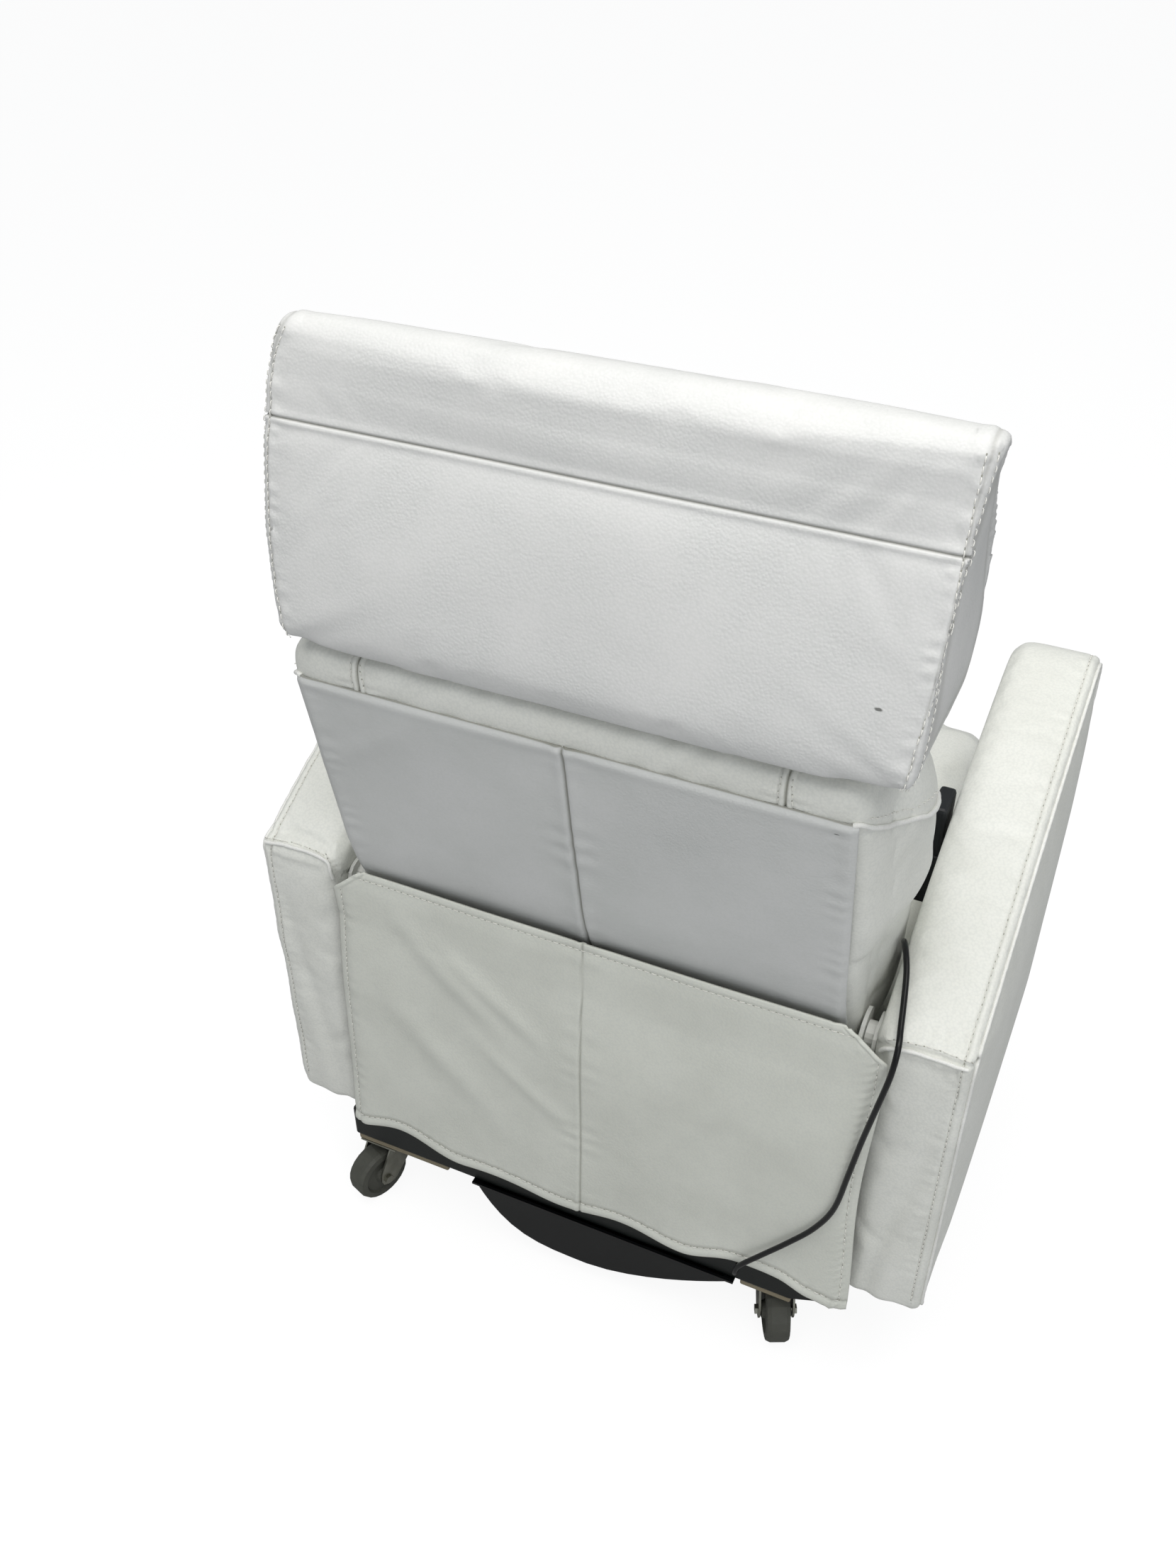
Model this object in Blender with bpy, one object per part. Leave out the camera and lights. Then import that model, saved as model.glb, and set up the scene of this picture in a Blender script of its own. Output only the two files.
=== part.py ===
"""Upholstered pedicure chair on a black plinth with four swivel casters.

Metres, +Z up, the sitter faces -Y and sits between arms at -X (right) and +X (left).
Depths are measured forwards from the plane of the arms' rear faces: y_at(depth) gives Y.
"""
import math

import bmesh
import bpy
from mathutils import Matrix, Vector

# Overall
REAR_Y = 0.3360          # Y of the arms' rear faces
TOUCH = 0.0004           # gap left between pieces that rest on each other

# Arms
ARM_SEAM = 0.410         # centre line to the outer seam
ARM_INNER = 0.310        # centre line to the inner face
ARM_BOTTOM = 0.1650
ARM_REAR_TOP = 0.588
ARM_RISE = 0.50          # slope of the top at the rear
ARM_ARCH = 0.33          # how fast that slope eases off
ARM_STRAIGHT = 0.485     # depth at which the nose begins
ARM_NOSE = 0.070         # nose radius
ARM_CROWN = 0.012        # bulge of the outer side panel

# Back and headrest
BACK_HALF = 0.290
CUSHION_HALF = 0.2975
BACK_LEAN = 0.20         # rearward run per unit of height
BACK_TOP = 0.925
SHELL_BOTTOM = 0.430
RECLINE_AXIS = (0.045, 0.545)     # depth, height
CRANK = (0.055, 0.385)            # actuator pivot on the back, depth and height
HEADREST_AXIS = (0.085, 0.9345)
HEADREST_LEFT, HEADREST_RIGHT = 0.305, 0.331
HINGE_X = 0.14

# Seat
SEAT_HALF = 0.295
SEAT_REAR, SEAT_FRONT = 0.172, 0.752
SEAT_UNDER, SEAT_TOP = 0.385, 0.500

# Base
PLINTH_LEFT, PLINTH_RIGHT = 0.3365, 0.2985     # centre line to its two ends
PLINTH_DEPTH = 0.618
PLINTH_LOW, PLINTH_HIGH = 0.112, 0.1635
BOARD = 0.018
STRIP = 0.0095           # thickness of the casters' bearing strips
RAIL_TOP = 0.200
PAN_LEFT, PAN_RIGHT = 0.1505, 0.1835   # centre line to the two ends of the pan's hollow
PAN_DEEP = 0.0750
PAN_WALL = 0.0035
CROSS_TOP = 0.2305
FRONT_RAIL = 0.440       # depth of the front cross rail
ACTUATOR_BASE = (0.400, 0.218)    # depth, height

# Casters
WHEEL_RADIUS = 0.039
WHEEL_WIDTH = 0.030
TRAIL = 0.028
CASTER_TOP = 0.1018       # height of the plates' upper faces
CASTER_PLACES = {         # x and depth of each swivel axis
    "rear_right": (-0.2295, 0.054), "rear_left": (0.3055, 0.034),
    "front_right": (-0.2295, 0.545), "front_left": (0.3055, 0.545)}
CASTER_TURNS = {"rear_right": 25, "rear_left": -21, "front_right": -20, "front_left": 35}

# Lead and handset
LEAD_RADIUS = 0.0032
HANDSET_X = -0.2981


def y_at(depth):
    return REAR_Y - depth


# ---------------------------------------------------------------- scene and materials


def clear_scene():
    for obj in list(bpy.data.objects):
        bpy.data.objects.remove(obj, do_unlink=True)


def srgb(code):
    """Linear RGBA of a #rrggbb colour."""
    parts = [int(code[i:i + 2], 16) / 255 for i in (1, 3, 5)]
    return [c / 12.92 if c <= 0.04045 else ((c + 0.055) / 1.055) ** 2.4 for c in parts] + [1.0]


def finish(name, code, roughness, metallic=0.0):
    """One Principled material, made once and shared by name."""
    found = bpy.data.materials.get(name)
    if found:
        return found
    made = bpy.data.materials.new(name)
    made.use_nodes = True
    shader = made.node_tree.nodes["Principled BSDF"]
    shader.inputs["Base Color"].default_value = srgb(code)
    shader.inputs["Roughness"].default_value = roughness
    shader.inputs["Metallic"].default_value = metallic
    return made


def white_leather():
    return finish("white_leather", "#e4e5e3", 0.45)


def black_paint():
    return finish("black_paint", "#1b2624", 0.35)


def black_fibreglass():
    return finish("black_fibreglass", "#101415", 0.12)


def plywood():
    return finish("plywood", "#b3a48c", 0.65)


def zinc_steel():
    return finish("zinc_steel", "#a7a59f", 0.35, 1.0)


def dark_steel():
    return finish("dark_steel", "#35383a", 0.45, 0.8)


def grey_tyre():
    return finish("grey_tyre", "#5b5c58", 0.6)


def black_plastic():
    return finish("black_plastic", "#17191b", 0.4)


# ---------------------------------------------------------------- outlines (depth, height)


def rounded(corners, steps=3):
    """Closed outline through (depth, height, radius) corners, each rounded by an arc.

    A corner of no radius is a plain point, as along a curve that is already smooth.
    """
    points = []
    count = len(corners)
    for i, (d, z, radius) in enumerate(corners):
        if not radius:
            points.append((d, z))
            continue
        here = Vector((d, z))
        back = Vector(corners[i - 1][:2]) - here
        ahead = Vector(corners[(i + 1) % count][:2]) - here
        half = back.angle(ahead) / 2
        reach = radius / math.tan(half)
        start = here + back.normalized() * reach
        end = here + ahead.normalized() * reach
        centre = here + (back.normalized() + ahead.normalized()).normalized() * radius / math.sin(half)
        a0 = math.atan2(*(start - centre).yx)
        a1 = math.atan2(*(end - centre).yx)
        turn = (a1 - a0 + math.pi) % (2 * math.pi) - math.pi
        for k in range(steps + 1):
            a = a0 + turn * k / steps
            points.append((centre.x + radius * math.cos(a), centre.y + radius * math.sin(a)))
    return points


def circle(depth, height, radius, count=24):
    return [(depth + radius * math.cos(2 * math.pi * k / count),
             height + radius * math.sin(2 * math.pi * k / count)) for k in range(count)]


def area(points):
    return sum(a[0] * b[1] - b[0] * a[1] for a, b in zip(points, points[1:] + points[:1])) / 2


def drawn_in(corners, distance):
    """The corners moved inwards so that every side of the outline shifts by distance."""
    way = 1 if area([c[:2] for c in corners]) > 0 else -1
    moved = []
    for i, (d, z, radius) in enumerate(corners):
        here = Vector((d, z))
        one = (here - Vector(corners[i - 1][:2])).normalized()
        two = (Vector(corners[(i + 1) % len(corners)][:2]) - here).normalized()
        normal = (Vector((-one.y, one.x)) + Vector((-two.y, two.x))).normalized() * way
        reach = distance / max(0.4, normal.dot(Vector((-one.y, one.x)) * way))
        moved.append((d + normal.x * reach, z + normal.y * reach,
                      max(radius - distance, 0.0015) if radius else 0))
    return moved


def shrunk(points, factor):
    """The outline scaled towards its middle."""
    md = sum(p[0] for p in points) / len(points)
    mz = sum(p[1] for p in points) / len(points)
    return [(md + (d - md) * factor, mz + (z - mz) * factor) for d, z in points]


# ---------------------------------------------------------------- mesh builders


def make(name, bm, material, sharp=40):
    """A named object from a bmesh, its faces outwards, round parts shaded smooth."""
    bmesh.ops.recalc_face_normals(bm, faces=bm.faces)
    if bm.calc_volume(signed=True) < 0:
        bmesh.ops.reverse_faces(bm, faces=bm.faces)
    mesh = bpy.data.meshes.new(name)
    bm.to_mesh(mesh)
    bm.free()
    mesh.materials.append(material)
    mesh.shade_smooth()
    mesh.set_sharp_from_angle(angle=math.radians(sharp))
    obj = bpy.data.objects.new(name, mesh)
    bpy.context.scene.collection.objects.link(obj)
    return obj


def hang_on(obj, depth, height, x=0.0):
    """Moves the object's origin to its joint's axis without moving its shape."""
    origin = Vector((x, y_at(depth), height))
    obj.data.transform(Matrix.Translation(-origin))
    obj.location = origin
    return obj


def combine(obj, others, operation="UNION"):
    """Boolean of obj with helper objects, which are used up."""
    for other in others:
        step = obj.modifiers.new("combine", "BOOLEAN")
        step.operation = operation
        step.object = other
        graph = bpy.context.evaluated_depsgraph_get()
        mesh = bpy.data.meshes.new_from_object(obj.evaluated_get(graph))
        obj.modifiers.clear()
        obj.data = mesh
        bpy.data.objects.remove(other, do_unlink=True)
    obj.data.set_sharp_from_angle(angle=math.radians(40))
    return obj


def bevel_edges(bm, width, segments=2, least=60):
    edges = [e for e in bm.edges if len(e.link_faces) == 2
             and math.degrees(e.calc_face_angle(0)) > least]
    bmesh.ops.bevel(bm, geom=edges, offset=width, segments=segments, affect="EDGES", profile=0.5)


def block(name, x, depth, height, material, bevel=0.0015, segments=1):
    """Bevelled block between (low, high) limits in X, depth and height."""
    bm = bmesh.new()
    size = (x[1] - x[0], depth[1] - depth[0], height[1] - height[0])
    middle = (sum(x) / 2, y_at(sum(depth) / 2), sum(height) / 2)
    bmesh.ops.create_cube(bm, size=1, matrix=Matrix.Translation(middle) @ Matrix.Diagonal((*size, 1)))
    if bevel:
        bevel_edges(bm, bevel, segments)
    return make(name, bm, material)


def plate(name, outline, x0, x1, material, bevel=0.0):
    """The outline in the side view, extruded from x0 to x1."""
    bm = bmesh.new()
    face = bm.faces.new([bm.verts.new((x0, y_at(d), z)) for d, z in outline])
    grown_face = bmesh.ops.extrude_face_region(bm, geom=[face])
    moved = [v for v in grown_face["geom"] if isinstance(v, bmesh.types.BMVert)]
    bmesh.ops.translate(bm, verts=moved, vec=(x1 - x0, 0, 0))
    if bevel:
        bmesh.ops.recalc_face_normals(bm, faces=bm.faces)
        bevel_edges(bm, bevel, 1)
    return make(name, bm, material)


def rear_plate(name, outline, depth0, depth1, material):
    """The outline of (x, z) points seen from the rear, extruded from depth0 to depth1."""
    bm = bmesh.new()
    face = bm.faces.new([bm.verts.new((x, y_at(depth0), z)) for x, z in outline])
    grown_face = bmesh.ops.extrude_face_region(bm, geom=[face])
    moved = [v for v in grown_face["geom"] if isinstance(v, bmesh.types.BMVert)]
    bmesh.ops.translate(bm, verts=moved, vec=(0, depth0 - depth1, 0))
    return make(name, bm, material)


def slab(name, outline, z0, z1, material, bevel=0.0):
    """The outline of (x, depth) points in plan, extruded from z0 to z1."""
    bm = bmesh.new()
    face = bm.faces.new([bm.verts.new((x, y_at(d), z0)) for x, d in outline])
    grown_face = bmesh.ops.extrude_face_region(bm, geom=[face])
    moved = [v for v in grown_face["geom"] if isinstance(v, bmesh.types.BMVert)]
    bmesh.ops.translate(bm, verts=moved, vec=(0, 0, z1 - z0))
    if bevel:
        bmesh.ops.recalc_face_normals(bm, faces=bm.faces)
        bevel_edges(bm, bevel, 1)
    return make(name, bm, material)


def rod(name, start, end, radius, material, sides=16, end_radius=None, bevel=0.0):
    """Round bar between two points in space."""
    start, end = Vector(start), Vector(end)
    bm = bmesh.new()
    turn = Vector((0, 0, 1)).rotation_difference(end - start).to_matrix().to_4x4()
    place = Matrix.Translation((start + end) / 2) @ turn
    bmesh.ops.create_cone(bm, cap_ends=True, segments=sides, radius1=radius,
                          radius2=radius if end_radius is None else end_radius,
                          depth=(end - start).length, matrix=place)
    if bevel:
        bevel_edges(bm, bevel, 1)
    return make(name, bm, material)


def cross_bar(name, x0, x1, depth, height, radius, material, sides=16, bevel=0.0):
    return rod(name, (x0, y_at(depth), height), (x1, y_at(depth), height), radius, material, sides,
               bevel=bevel)


def skin(bm, rings):
    """Quads between neighbouring closed rings of vertices."""
    for one, two in zip(rings, rings[1:]):
        for k in range(len(one)):
            j = (k + 1) % len(one)
            bm.faces.new((one[k], one[j], two[j], two[k]))


def fan(bm, ring, tip):
    for k in range(len(ring)):
        bm.faces.new((ring[k], ring[(k + 1) % len(ring)], tip))


def padded(name, section, x0, x1, material, edges=(0.02, 0.02), crowns=(0.006, 0.006), middle=6,
           arc=3, steps=2):
    """Upholstered body lofted across the chair.

    section(x) lists the corners of its side outline at x. The outline draws in over each edge
    radius, and each side panel then bulges by its crown to a point at its middle.
    """
    width = x1 - x0
    stations = []
    for k in range(arc + 1):
        a = math.pi / 2 * (1 - k / arc)
        stations.append((x0 + edges[0] * (1 - math.sin(a)), edges[0] * (1 - math.cos(a))))
    inner = width - edges[0] - edges[1]
    for k in range(1, middle):
        stations.append((x0 + edges[0] + inner * k / middle, 0.0))
    for k in range(arc + 1):
        a = math.pi / 2 * k / arc
        stations.append((x1 - edges[1] * (1 - math.sin(a)), edges[1] * (1 - math.cos(a))))
    bm = bmesh.new()

    def ring(x, outline):
        return [bm.verts.new((x, y_at(d), z)) for d, z in outline]

    def drawn(x, distance):
        return rounded(drawn_in(section(x), distance), steps)

    def side(x, edge, crown, way, ends):
        """Rings of a bulging side panel from its middle outwards, or none on a flat one."""
        if not crown:
            return []
        outline = drawn(x, edge)
        rings = [ring(x + way * crown * (1 - f ** 2), shrunk(outline, f)) for f in (0.5, 0.86)]
        d = sum(p[0] for p in outline) / len(outline)
        z = sum(p[1] for p in outline) / len(outline)
        ends.append((rings[0], bm.verts.new((x + way * crown, y_at(d), z))))
        return rings

    ends = []
    rings = side(x0, edges[0], crowns[0], -1, ends)
    rings += [ring(x, drawn(x, distance)) for x, distance in stations]
    rings += side(x1, edges[1], crowns[1], 1, ends)[::-1]
    skin(bm, rings)
    for outline, tip in ends:
        fan(bm, outline, tip)
    for outline, crown in ((rings[0], crowns[0]), (rings[-1], crowns[1])):
        if not crown:
            bm.faces.new(outline)
    return make(name, bm, material, sharp=50)


# ---------------------------------------------------------------- arms


def arm_top(depth):
    return ARM_REAR_TOP + ARM_RISE * depth - ARM_ARCH * depth ** 2


def arm_corners():
    """Upright rear face, a gently arched top, a round nose and a front that slopes back to the foot."""
    corners = [(0, ARM_BOTTOM, 0.016), (0, ARM_REAR_TOP, 0.014)]
    tops, arcs = 7, 6
    for k in range(1, tops + 1):
        depth = 0.02 + (ARM_STRAIGHT - 0.02) * k / tops
        corners.append((depth, arm_top(depth), 0))
    slope = math.atan(ARM_RISE - 2 * ARM_ARCH * ARM_STRAIGHT)
    lean = math.radians(5)
    centre_d = ARM_STRAIGHT + ARM_NOSE * math.sin(slope)
    centre_z = arm_top(ARM_STRAIGHT) - ARM_NOSE * math.cos(slope)
    for k in range(1, arcs + 1):
        a = math.pi / 2 + slope - (math.pi / 2 + slope + lean) * k / arcs
        corners.append((centre_d + ARM_NOSE * math.cos(a), centre_z + ARM_NOSE * math.sin(a), 0))
    brow_d, brow_z, _ = corners[-1]
    foot = brow_d - (brow_z - ARM_BOTTOM) * math.tan(lean)
    corners.append((foot, ARM_BOTTOM, 0.018))
    return corners


def arms():
    corners = arm_corners()
    for name, side in (("arm_right", -1), ("arm_left", 1)):
        limits = sorted((side * ARM_INNER, side * ARM_SEAM))
        edges = (0.010, 0.022) if side < 0 else (0.022, 0.010)
        crowns = (ARM_CROWN, 0.0) if side < 0 else (0.0, ARM_CROWN)
        padded(name, lambda x: corners, *limits, white_leather(), edges, crowns, middle=3, steps=3)


# ---------------------------------------------------------------- back


def back_plane(height):
    """Depth of the rear cover's outer face."""
    return -0.003 - (height - 0.597) * BACK_LEAN


def shell_corners():
    cover = 0.0048
    return [
        (0.040, SHELL_BOTTOM, 0.008), (0.036, 0.520, 0.05), (0.012, 0.602, 0.05),
        (back_plane(0.66) + cover, 0.660, 0.10), (back_plane(BACK_TOP) + cover, BACK_TOP, 0.016),
        (0.011, BACK_TOP, 0.006), (0.110, SHELL_BOTTOM, 0.008)]


def back_shell():
    """Upholstered frame of the back: leaning above the arms, cut away below them."""
    corners = shell_corners()
    shell = padded("back_shell", lambda x: corners, -BACK_HALF, BACK_HALF, white_leather(),
                   (0.010, 0.010), (0.0, 0.0), middle=4, arc=2)
    hang_on(shell, *RECLINE_AXIS)


def back_cushion():
    """Front cushion, thickest at the small of the back, crowned across and drawn in at its ends."""
    def section(x):
        across = 1 - (x / CUSHION_HALF) ** 2
        swell = 0.020 * across
        front = 0.207 + swell
        return [
            (0.0966 + TOUCH, 0.497, 0.010), (0.0136 + TOUCH, 0.912, 0.015),
            (0.085 + swell * 0.5, 0.910, 0.024), (front - 0.040, 0.730, 0.12),
            (front, 0.590, 0.10), (front - 0.012, 0.497, 0.032)]
    cushion = padded("back_cushion", section, -CUSHION_HALF, CUSHION_HALF, white_leather(),
                     (0.018, 0.018), (0.003, 0.003), middle=6)
    hang_on(cushion, *RECLINE_AXIS)


def upper_cover():
    """Leather cover panel on the rear of the back, following its bend above the arms."""
    thick = 0.0042
    heights = [0.574, 0.590, 0.606, 0.622, 0.640, 0.660, 0.716, 0.772, 0.828, 0.8885]
    columns = 10
    left, right = 0.2775, -0.2795
    bm = bmesh.new()
    front, rear = [], []
    for z in heights:
        bend = max(0.0, 0.665 - z) ** 2 * 1.5
        row_front, row_rear = [], []
        for k in range(columns + 1):
            x = left + (right - left) * k / columns
            edge = min(x - right, left - x)
            sag = 0.0012 * math.exp(-(edge / 0.02) ** 2)
            depth = back_plane(z) + bend
            row_rear.append(bm.verts.new((x, y_at(depth + sag), z)))
            row_front.append(bm.verts.new((x, y_at(depth + thick), z)))
        front.append(row_front)
        rear.append(row_rear)
    close_sheet(bm, front, rear)
    hang_on(make("upper_cover", bm, white_leather()), *RECLINE_AXIS)


def close_sheet(bm, front, rear):
    """Faces of both sides of a grid sheet and of its border."""
    rows, columns = len(front), len(front[0])
    for grid, flip in ((front, False), (rear, True)):
        for i in range(rows - 1):
            for j in range(columns - 1):
                face = [grid[i][j], grid[i][j + 1], grid[i + 1][j + 1], grid[i + 1][j]]
                bm.faces.new(face[::-1] if flip else face)
    border = [(0, j) for j in range(columns)] + [(i, columns - 1) for i in range(1, rows)]
    border += [(rows - 1, j) for j in range(columns - 2, -1, -1)] + [(i, 0) for i in range(rows - 2, 0, -1)]
    for (a, b), (c, d) in zip(border, border[1:] + border[:1]):
        bm.faces.new((front[a][b], rear[a][b], rear[c][d], front[c][d]))


def back_side_plates():
    """Steel side plates that carry the recline pivots and reach down to the crank tube."""
    pd, pz = RECLINE_AXIS
    cd, cz = CRANK
    outline = rounded([(cd - 0.022, cz - 0.020, 0.018), (pd - 0.024, pz + 0.023, 0.02),
                       (pd + 0.027, pz + 0.023, 0.02), (cd + 0.022, cz - 0.020, 0.018)])
    for name, side in (("back_side_plate_right", -1), ("back_side_plate_left", 1)):
        x0, x1 = side * (BACK_HALF + TOUCH), side * (BACK_HALF + TOUCH + 0.004)
        body = plate(name, outline, x0, x1, dark_steel())
        hole = cross_bar("hole", x0 - side * 0.01, x1 + side * 0.01, pd, pz, 0.0082, dark_steel())
        combine(body, [hole], "DIFFERENCE")
        hang_on(body, *RECLINE_AXIS)


def crank_tube():
    """Tube across the foot of the side plates with a pair of ears for the actuator."""
    cd, cz = CRANK
    reach = BACK_HALF - 0.0001
    tube_height = cz + 0.030
    tube = cross_bar("crank_tube", -reach, reach, cd, tube_height, 0.011, dark_steel())
    ears = []
    outline = rounded([(cd - 0.013, tube_height, 0.003), (cd + 0.013, tube_height, 0.003),
                       (cd + 0.013, cz - 0.013, 0.0125), (cd - 0.013, cz - 0.013, 0.0125)], steps=4)
    for x in (-0.0145, 0.0105):
        ear = plate("ear", outline, x, x + 0.004, dark_steel())
        hole = cross_bar("hole", x - 0.01, x + 0.014, cd, cz, 0.0080, dark_steel())
        ears.append(combine(ear, [hole], "DIFFERENCE"))
    combine(tube, ears)
    hang_on(tube, *RECLINE_AXIS)


def headrest_straps():
    """Hinge straps on top of the back, each ending in an eye for the headrest's pin."""
    hd, hz = HEADREST_AXIS
    low, high = BACK_TOP + TOUCH, BACK_TOP + TOUCH + 0.004
    for name, side in (("headrest_strap_right", -1), ("headrest_strap_left", 1)):
        x0, x1 = side * HINGE_X - 0.012, side * HINGE_X + 0.012
        strap = plate(name, [(-0.040, low), (-0.040, high), (hd, high), (hd, low)], x0, x1, zinc_steel())
        eye = plate("eye", circle(hd, hz, 0.008), x0, x1, zinc_steel())
        combine(strap, [eye])
        hole = cross_bar("hole", x0 - 0.01, x1 + 0.01, hd, hz, 0.0042, zinc_steel())
        combine(strap, [hole], "DIFFERENCE")
        hang_on(strap, *RECLINE_AXIS)


# ---------------------------------------------------------------- headrest


def headrest_section(x):
    """Wedge with an upright-leaning rear face, a sewn seam across it and a bulging front."""
    across = abs(x) / HEADREST_RIGHT
    lift = 0.017 * across ** 4
    swell = 0.012 * (1 - across ** 2)
    foot = Vector((-0.0812, 0.9225 + lift))
    head = Vector((0.006, 1.225 - 0.006 * across ** 4))
    rise = head - foot

    def on_rear(part, out=0.0):
        normal = Vector((-rise.y, rise.x)).normalized()
        return tuple(foot + rise * part + normal * out)

    seam = ((0.17, 0.0022), (0.36, 0.0035), (0.62, 0.0030), (0.67, 0.0010), (0.70, -0.0020),
            (0.73, 0.0010), (0.80, 0.0025))
    corners = [(*on_rear(part, out), 0) for part, out in seam]
    corners += [
        (head.x, head.y, 0.016), (0.040, head.y - 0.016, 0.030), (0.116 + swell, 1.090, 0.10),
        (0.127 + swell, 1.010, 0.06), (0.110 + swell * 0.4, 0.9345 + lift * 0.5, 0.020),
        (-0.055, 0.9345 + lift, 0.012), (foot.x, foot.y, 0.008)]
    return corners


def draw_ends_in(body):
    """Draws the ends in towards the foot, and the left end in at its top corner too."""
    for vert in body.data.vertices:
        x, height = vert.co.x, vert.co.z
        low = min(1.0, max(0.0, (1.10 - height) / 0.17))
        high = min(1.0, max(0.0, (height - 1.175) / 0.05))
        if x > 0:
            vert.co.x -= (0.030 * low ** 1.8 + 0.020 * high ** 1.5) * (x / HEADREST_LEFT) ** 3
        else:
            vert.co.x += 0.010 * low ** 1.8 * (-x / HEADREST_RIGHT) ** 3


def headrest():
    body = padded("headrest_cushion", headrest_section, -HEADREST_RIGHT, HEADREST_LEFT,
                  white_leather(), (0.010, 0.014), (0.003, 0.005), middle=8)
    draw_ends_in(body)
    hd, hz = HEADREST_AXIS
    for side in (-1, 1):
        notch = block("notch", (side * HINGE_X - 0.0215, side * HINGE_X + 0.0215),
                      (hd - 0.028, hd + 0.018), (0.90, 0.9505), white_leather(), bevel=0)
        combine(body, [notch], "DIFFERENCE")
    hang_on(body, *HEADREST_AXIS)
    for name, side in (("headrest_clevis_right", -1), ("headrest_clevis_left", 1)):
        middle = side * HINGE_X
        web = block(name, (middle - 0.0185, middle + 0.0185), (hd - 0.010, hd + 0.010),
                    (0.9462, 0.9501), zinc_steel(), bevel=0)
        ears = []
        outline = rounded([(hd - 0.0095, hz - 0.0085, 0.0085), (hd - 0.0095, 0.948, 0.001),
                           (hd + 0.0095, 0.948, 0.001), (hd + 0.0095, hz - 0.0085, 0.0085)])
        for x in (middle - 0.0170, middle + 0.0130):
            ears.append(plate("ear", outline, x, x + 0.004, zinc_steel()))
        pin = cross_bar("pin", middle - 0.0195, middle + 0.0195, hd, hz, 0.0040, zinc_steel())
        hang_on(combine(web, ears + [pin]), *HEADREST_AXIS)


# ---------------------------------------------------------------- recline brackets and actuator


def recline_brackets():
    """Plates on the arms' inner faces, each with the stub that the back turns on."""
    pd, pz = RECLINE_AXIS
    outline = rounded([(pd - 0.030, pz - 0.045, 0.010), (pd - 0.022, pz + 0.022, 0.018),
                       (pd + 0.022, pz + 0.022, 0.018), (pd + 0.034, pz - 0.045, 0.010)])
    for name, side in (("recline_bracket_right", -1), ("recline_bracket_left", 1)):
        wall = ARM_INNER - TOUCH
        bracket = plate(name, outline, side * (wall - 0.004), side * wall, dark_steel())
        boss = cross_bar("boss", side * (wall - 0.002), side * 0.2952, pd, pz, 0.014, dark_steel())
        stub = cross_bar("stub", side * (wall - 0.002), side * 0.2906, pd, pz, 0.0080, dark_steel())
        bolts = []
        for depth, height in ((pd - 0.022, pz - 0.034), (pd + 0.026, pz - 0.034)):
            bolts.append(cross_bar("bolt", side * (wall - 0.002), side * (wall - 0.008), depth, height,
                                   0.006, dark_steel(), sides=6))
        combine(bracket, [boss, stub] + bolts)


def actuator():
    """Linear actuator under the seat: motor and tube swing on the base, the rod draws the crank."""
    base = Vector((0, y_at(ACTUATOR_BASE[0]), ACTUATOR_BASE[1]))
    crank = Vector((0, y_at(CRANK[0]), CRANK[1]))
    way = (crank - base).normalized()
    up = Vector((1, 0, 0)).cross(way)
    length = (crank - base).length
    steel, plastic = zinc_steel(), black_plastic()

    tube = rod("actuator_motor", base + way * 0.045, base + way * 0.225, 0.0165, plastic)
    gearbox = rod("gearbox", base + way * 0.022, base + way * 0.072, 0.026, plastic, bevel=0.003)
    motor = rod("motor", base + way * 0.030 - up * 0.040, base + way * 0.135 - up * 0.040, 0.020,
                plastic, bevel=0.003)
    eye = cross_bar("eye", -0.009, 0.009, *ACTUATOR_BASE, 0.012, plastic)
    neck = rod("neck", base + way * 0.004, base + way * 0.030, 0.008, plastic)
    combine(tube, [gearbox, motor, neck, eye])
    bore = rod("bore", base + way * 0.028, base + way * 0.24, 0.0095, plastic)
    pivot = cross_bar("pivot", -0.02, 0.02, *ACTUATOR_BASE, 0.0052, plastic)
    combine(tube, [bore, pivot], "DIFFERENCE")
    hang_on(tube, *ACTUATOR_BASE)

    bar = rod("actuator_rod", base + way * 0.075, base + way * (length - 0.006), 0.0090, steel)
    end = cross_bar("end", -0.0070, 0.0070, *CRANK, 0.0115, steel)
    pin = cross_bar("pin", -0.0165, 0.0165, *CRANK, 0.0050, steel)
    combine(bar, [end, pin])
    hang_on(bar, *ACTUATOR_BASE)


def actuator_clevis():
    """Bracket on the front cross rail that holds the actuator's fixed end."""
    bd, bz = ACTUATOR_BASE
    wall = FRONT_RAIL - TOUCH
    base = block("actuator_clevis", (-0.024, 0.024), (wall - 0.004, wall), (0.203, 0.229),
                 dark_steel(), bevel=0)
    outline = rounded([(bd - 0.011, bz - 0.011, 0.0105), (bd - 0.011, bz + 0.011, 0.0105),
                       (wall - 0.002, bz + 0.010, 0.002), (wall - 0.002, bz - 0.012, 0.002)])
    ears = [plate("ear", outline, x, x + 0.004, dark_steel()) for x in (-0.0140, 0.0100)]
    pin = cross_bar("pin", -0.017, 0.017, bd, bz, 0.0050, dark_steel())
    combine(base, ears + [pin])


# ---------------------------------------------------------------- seat


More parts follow.
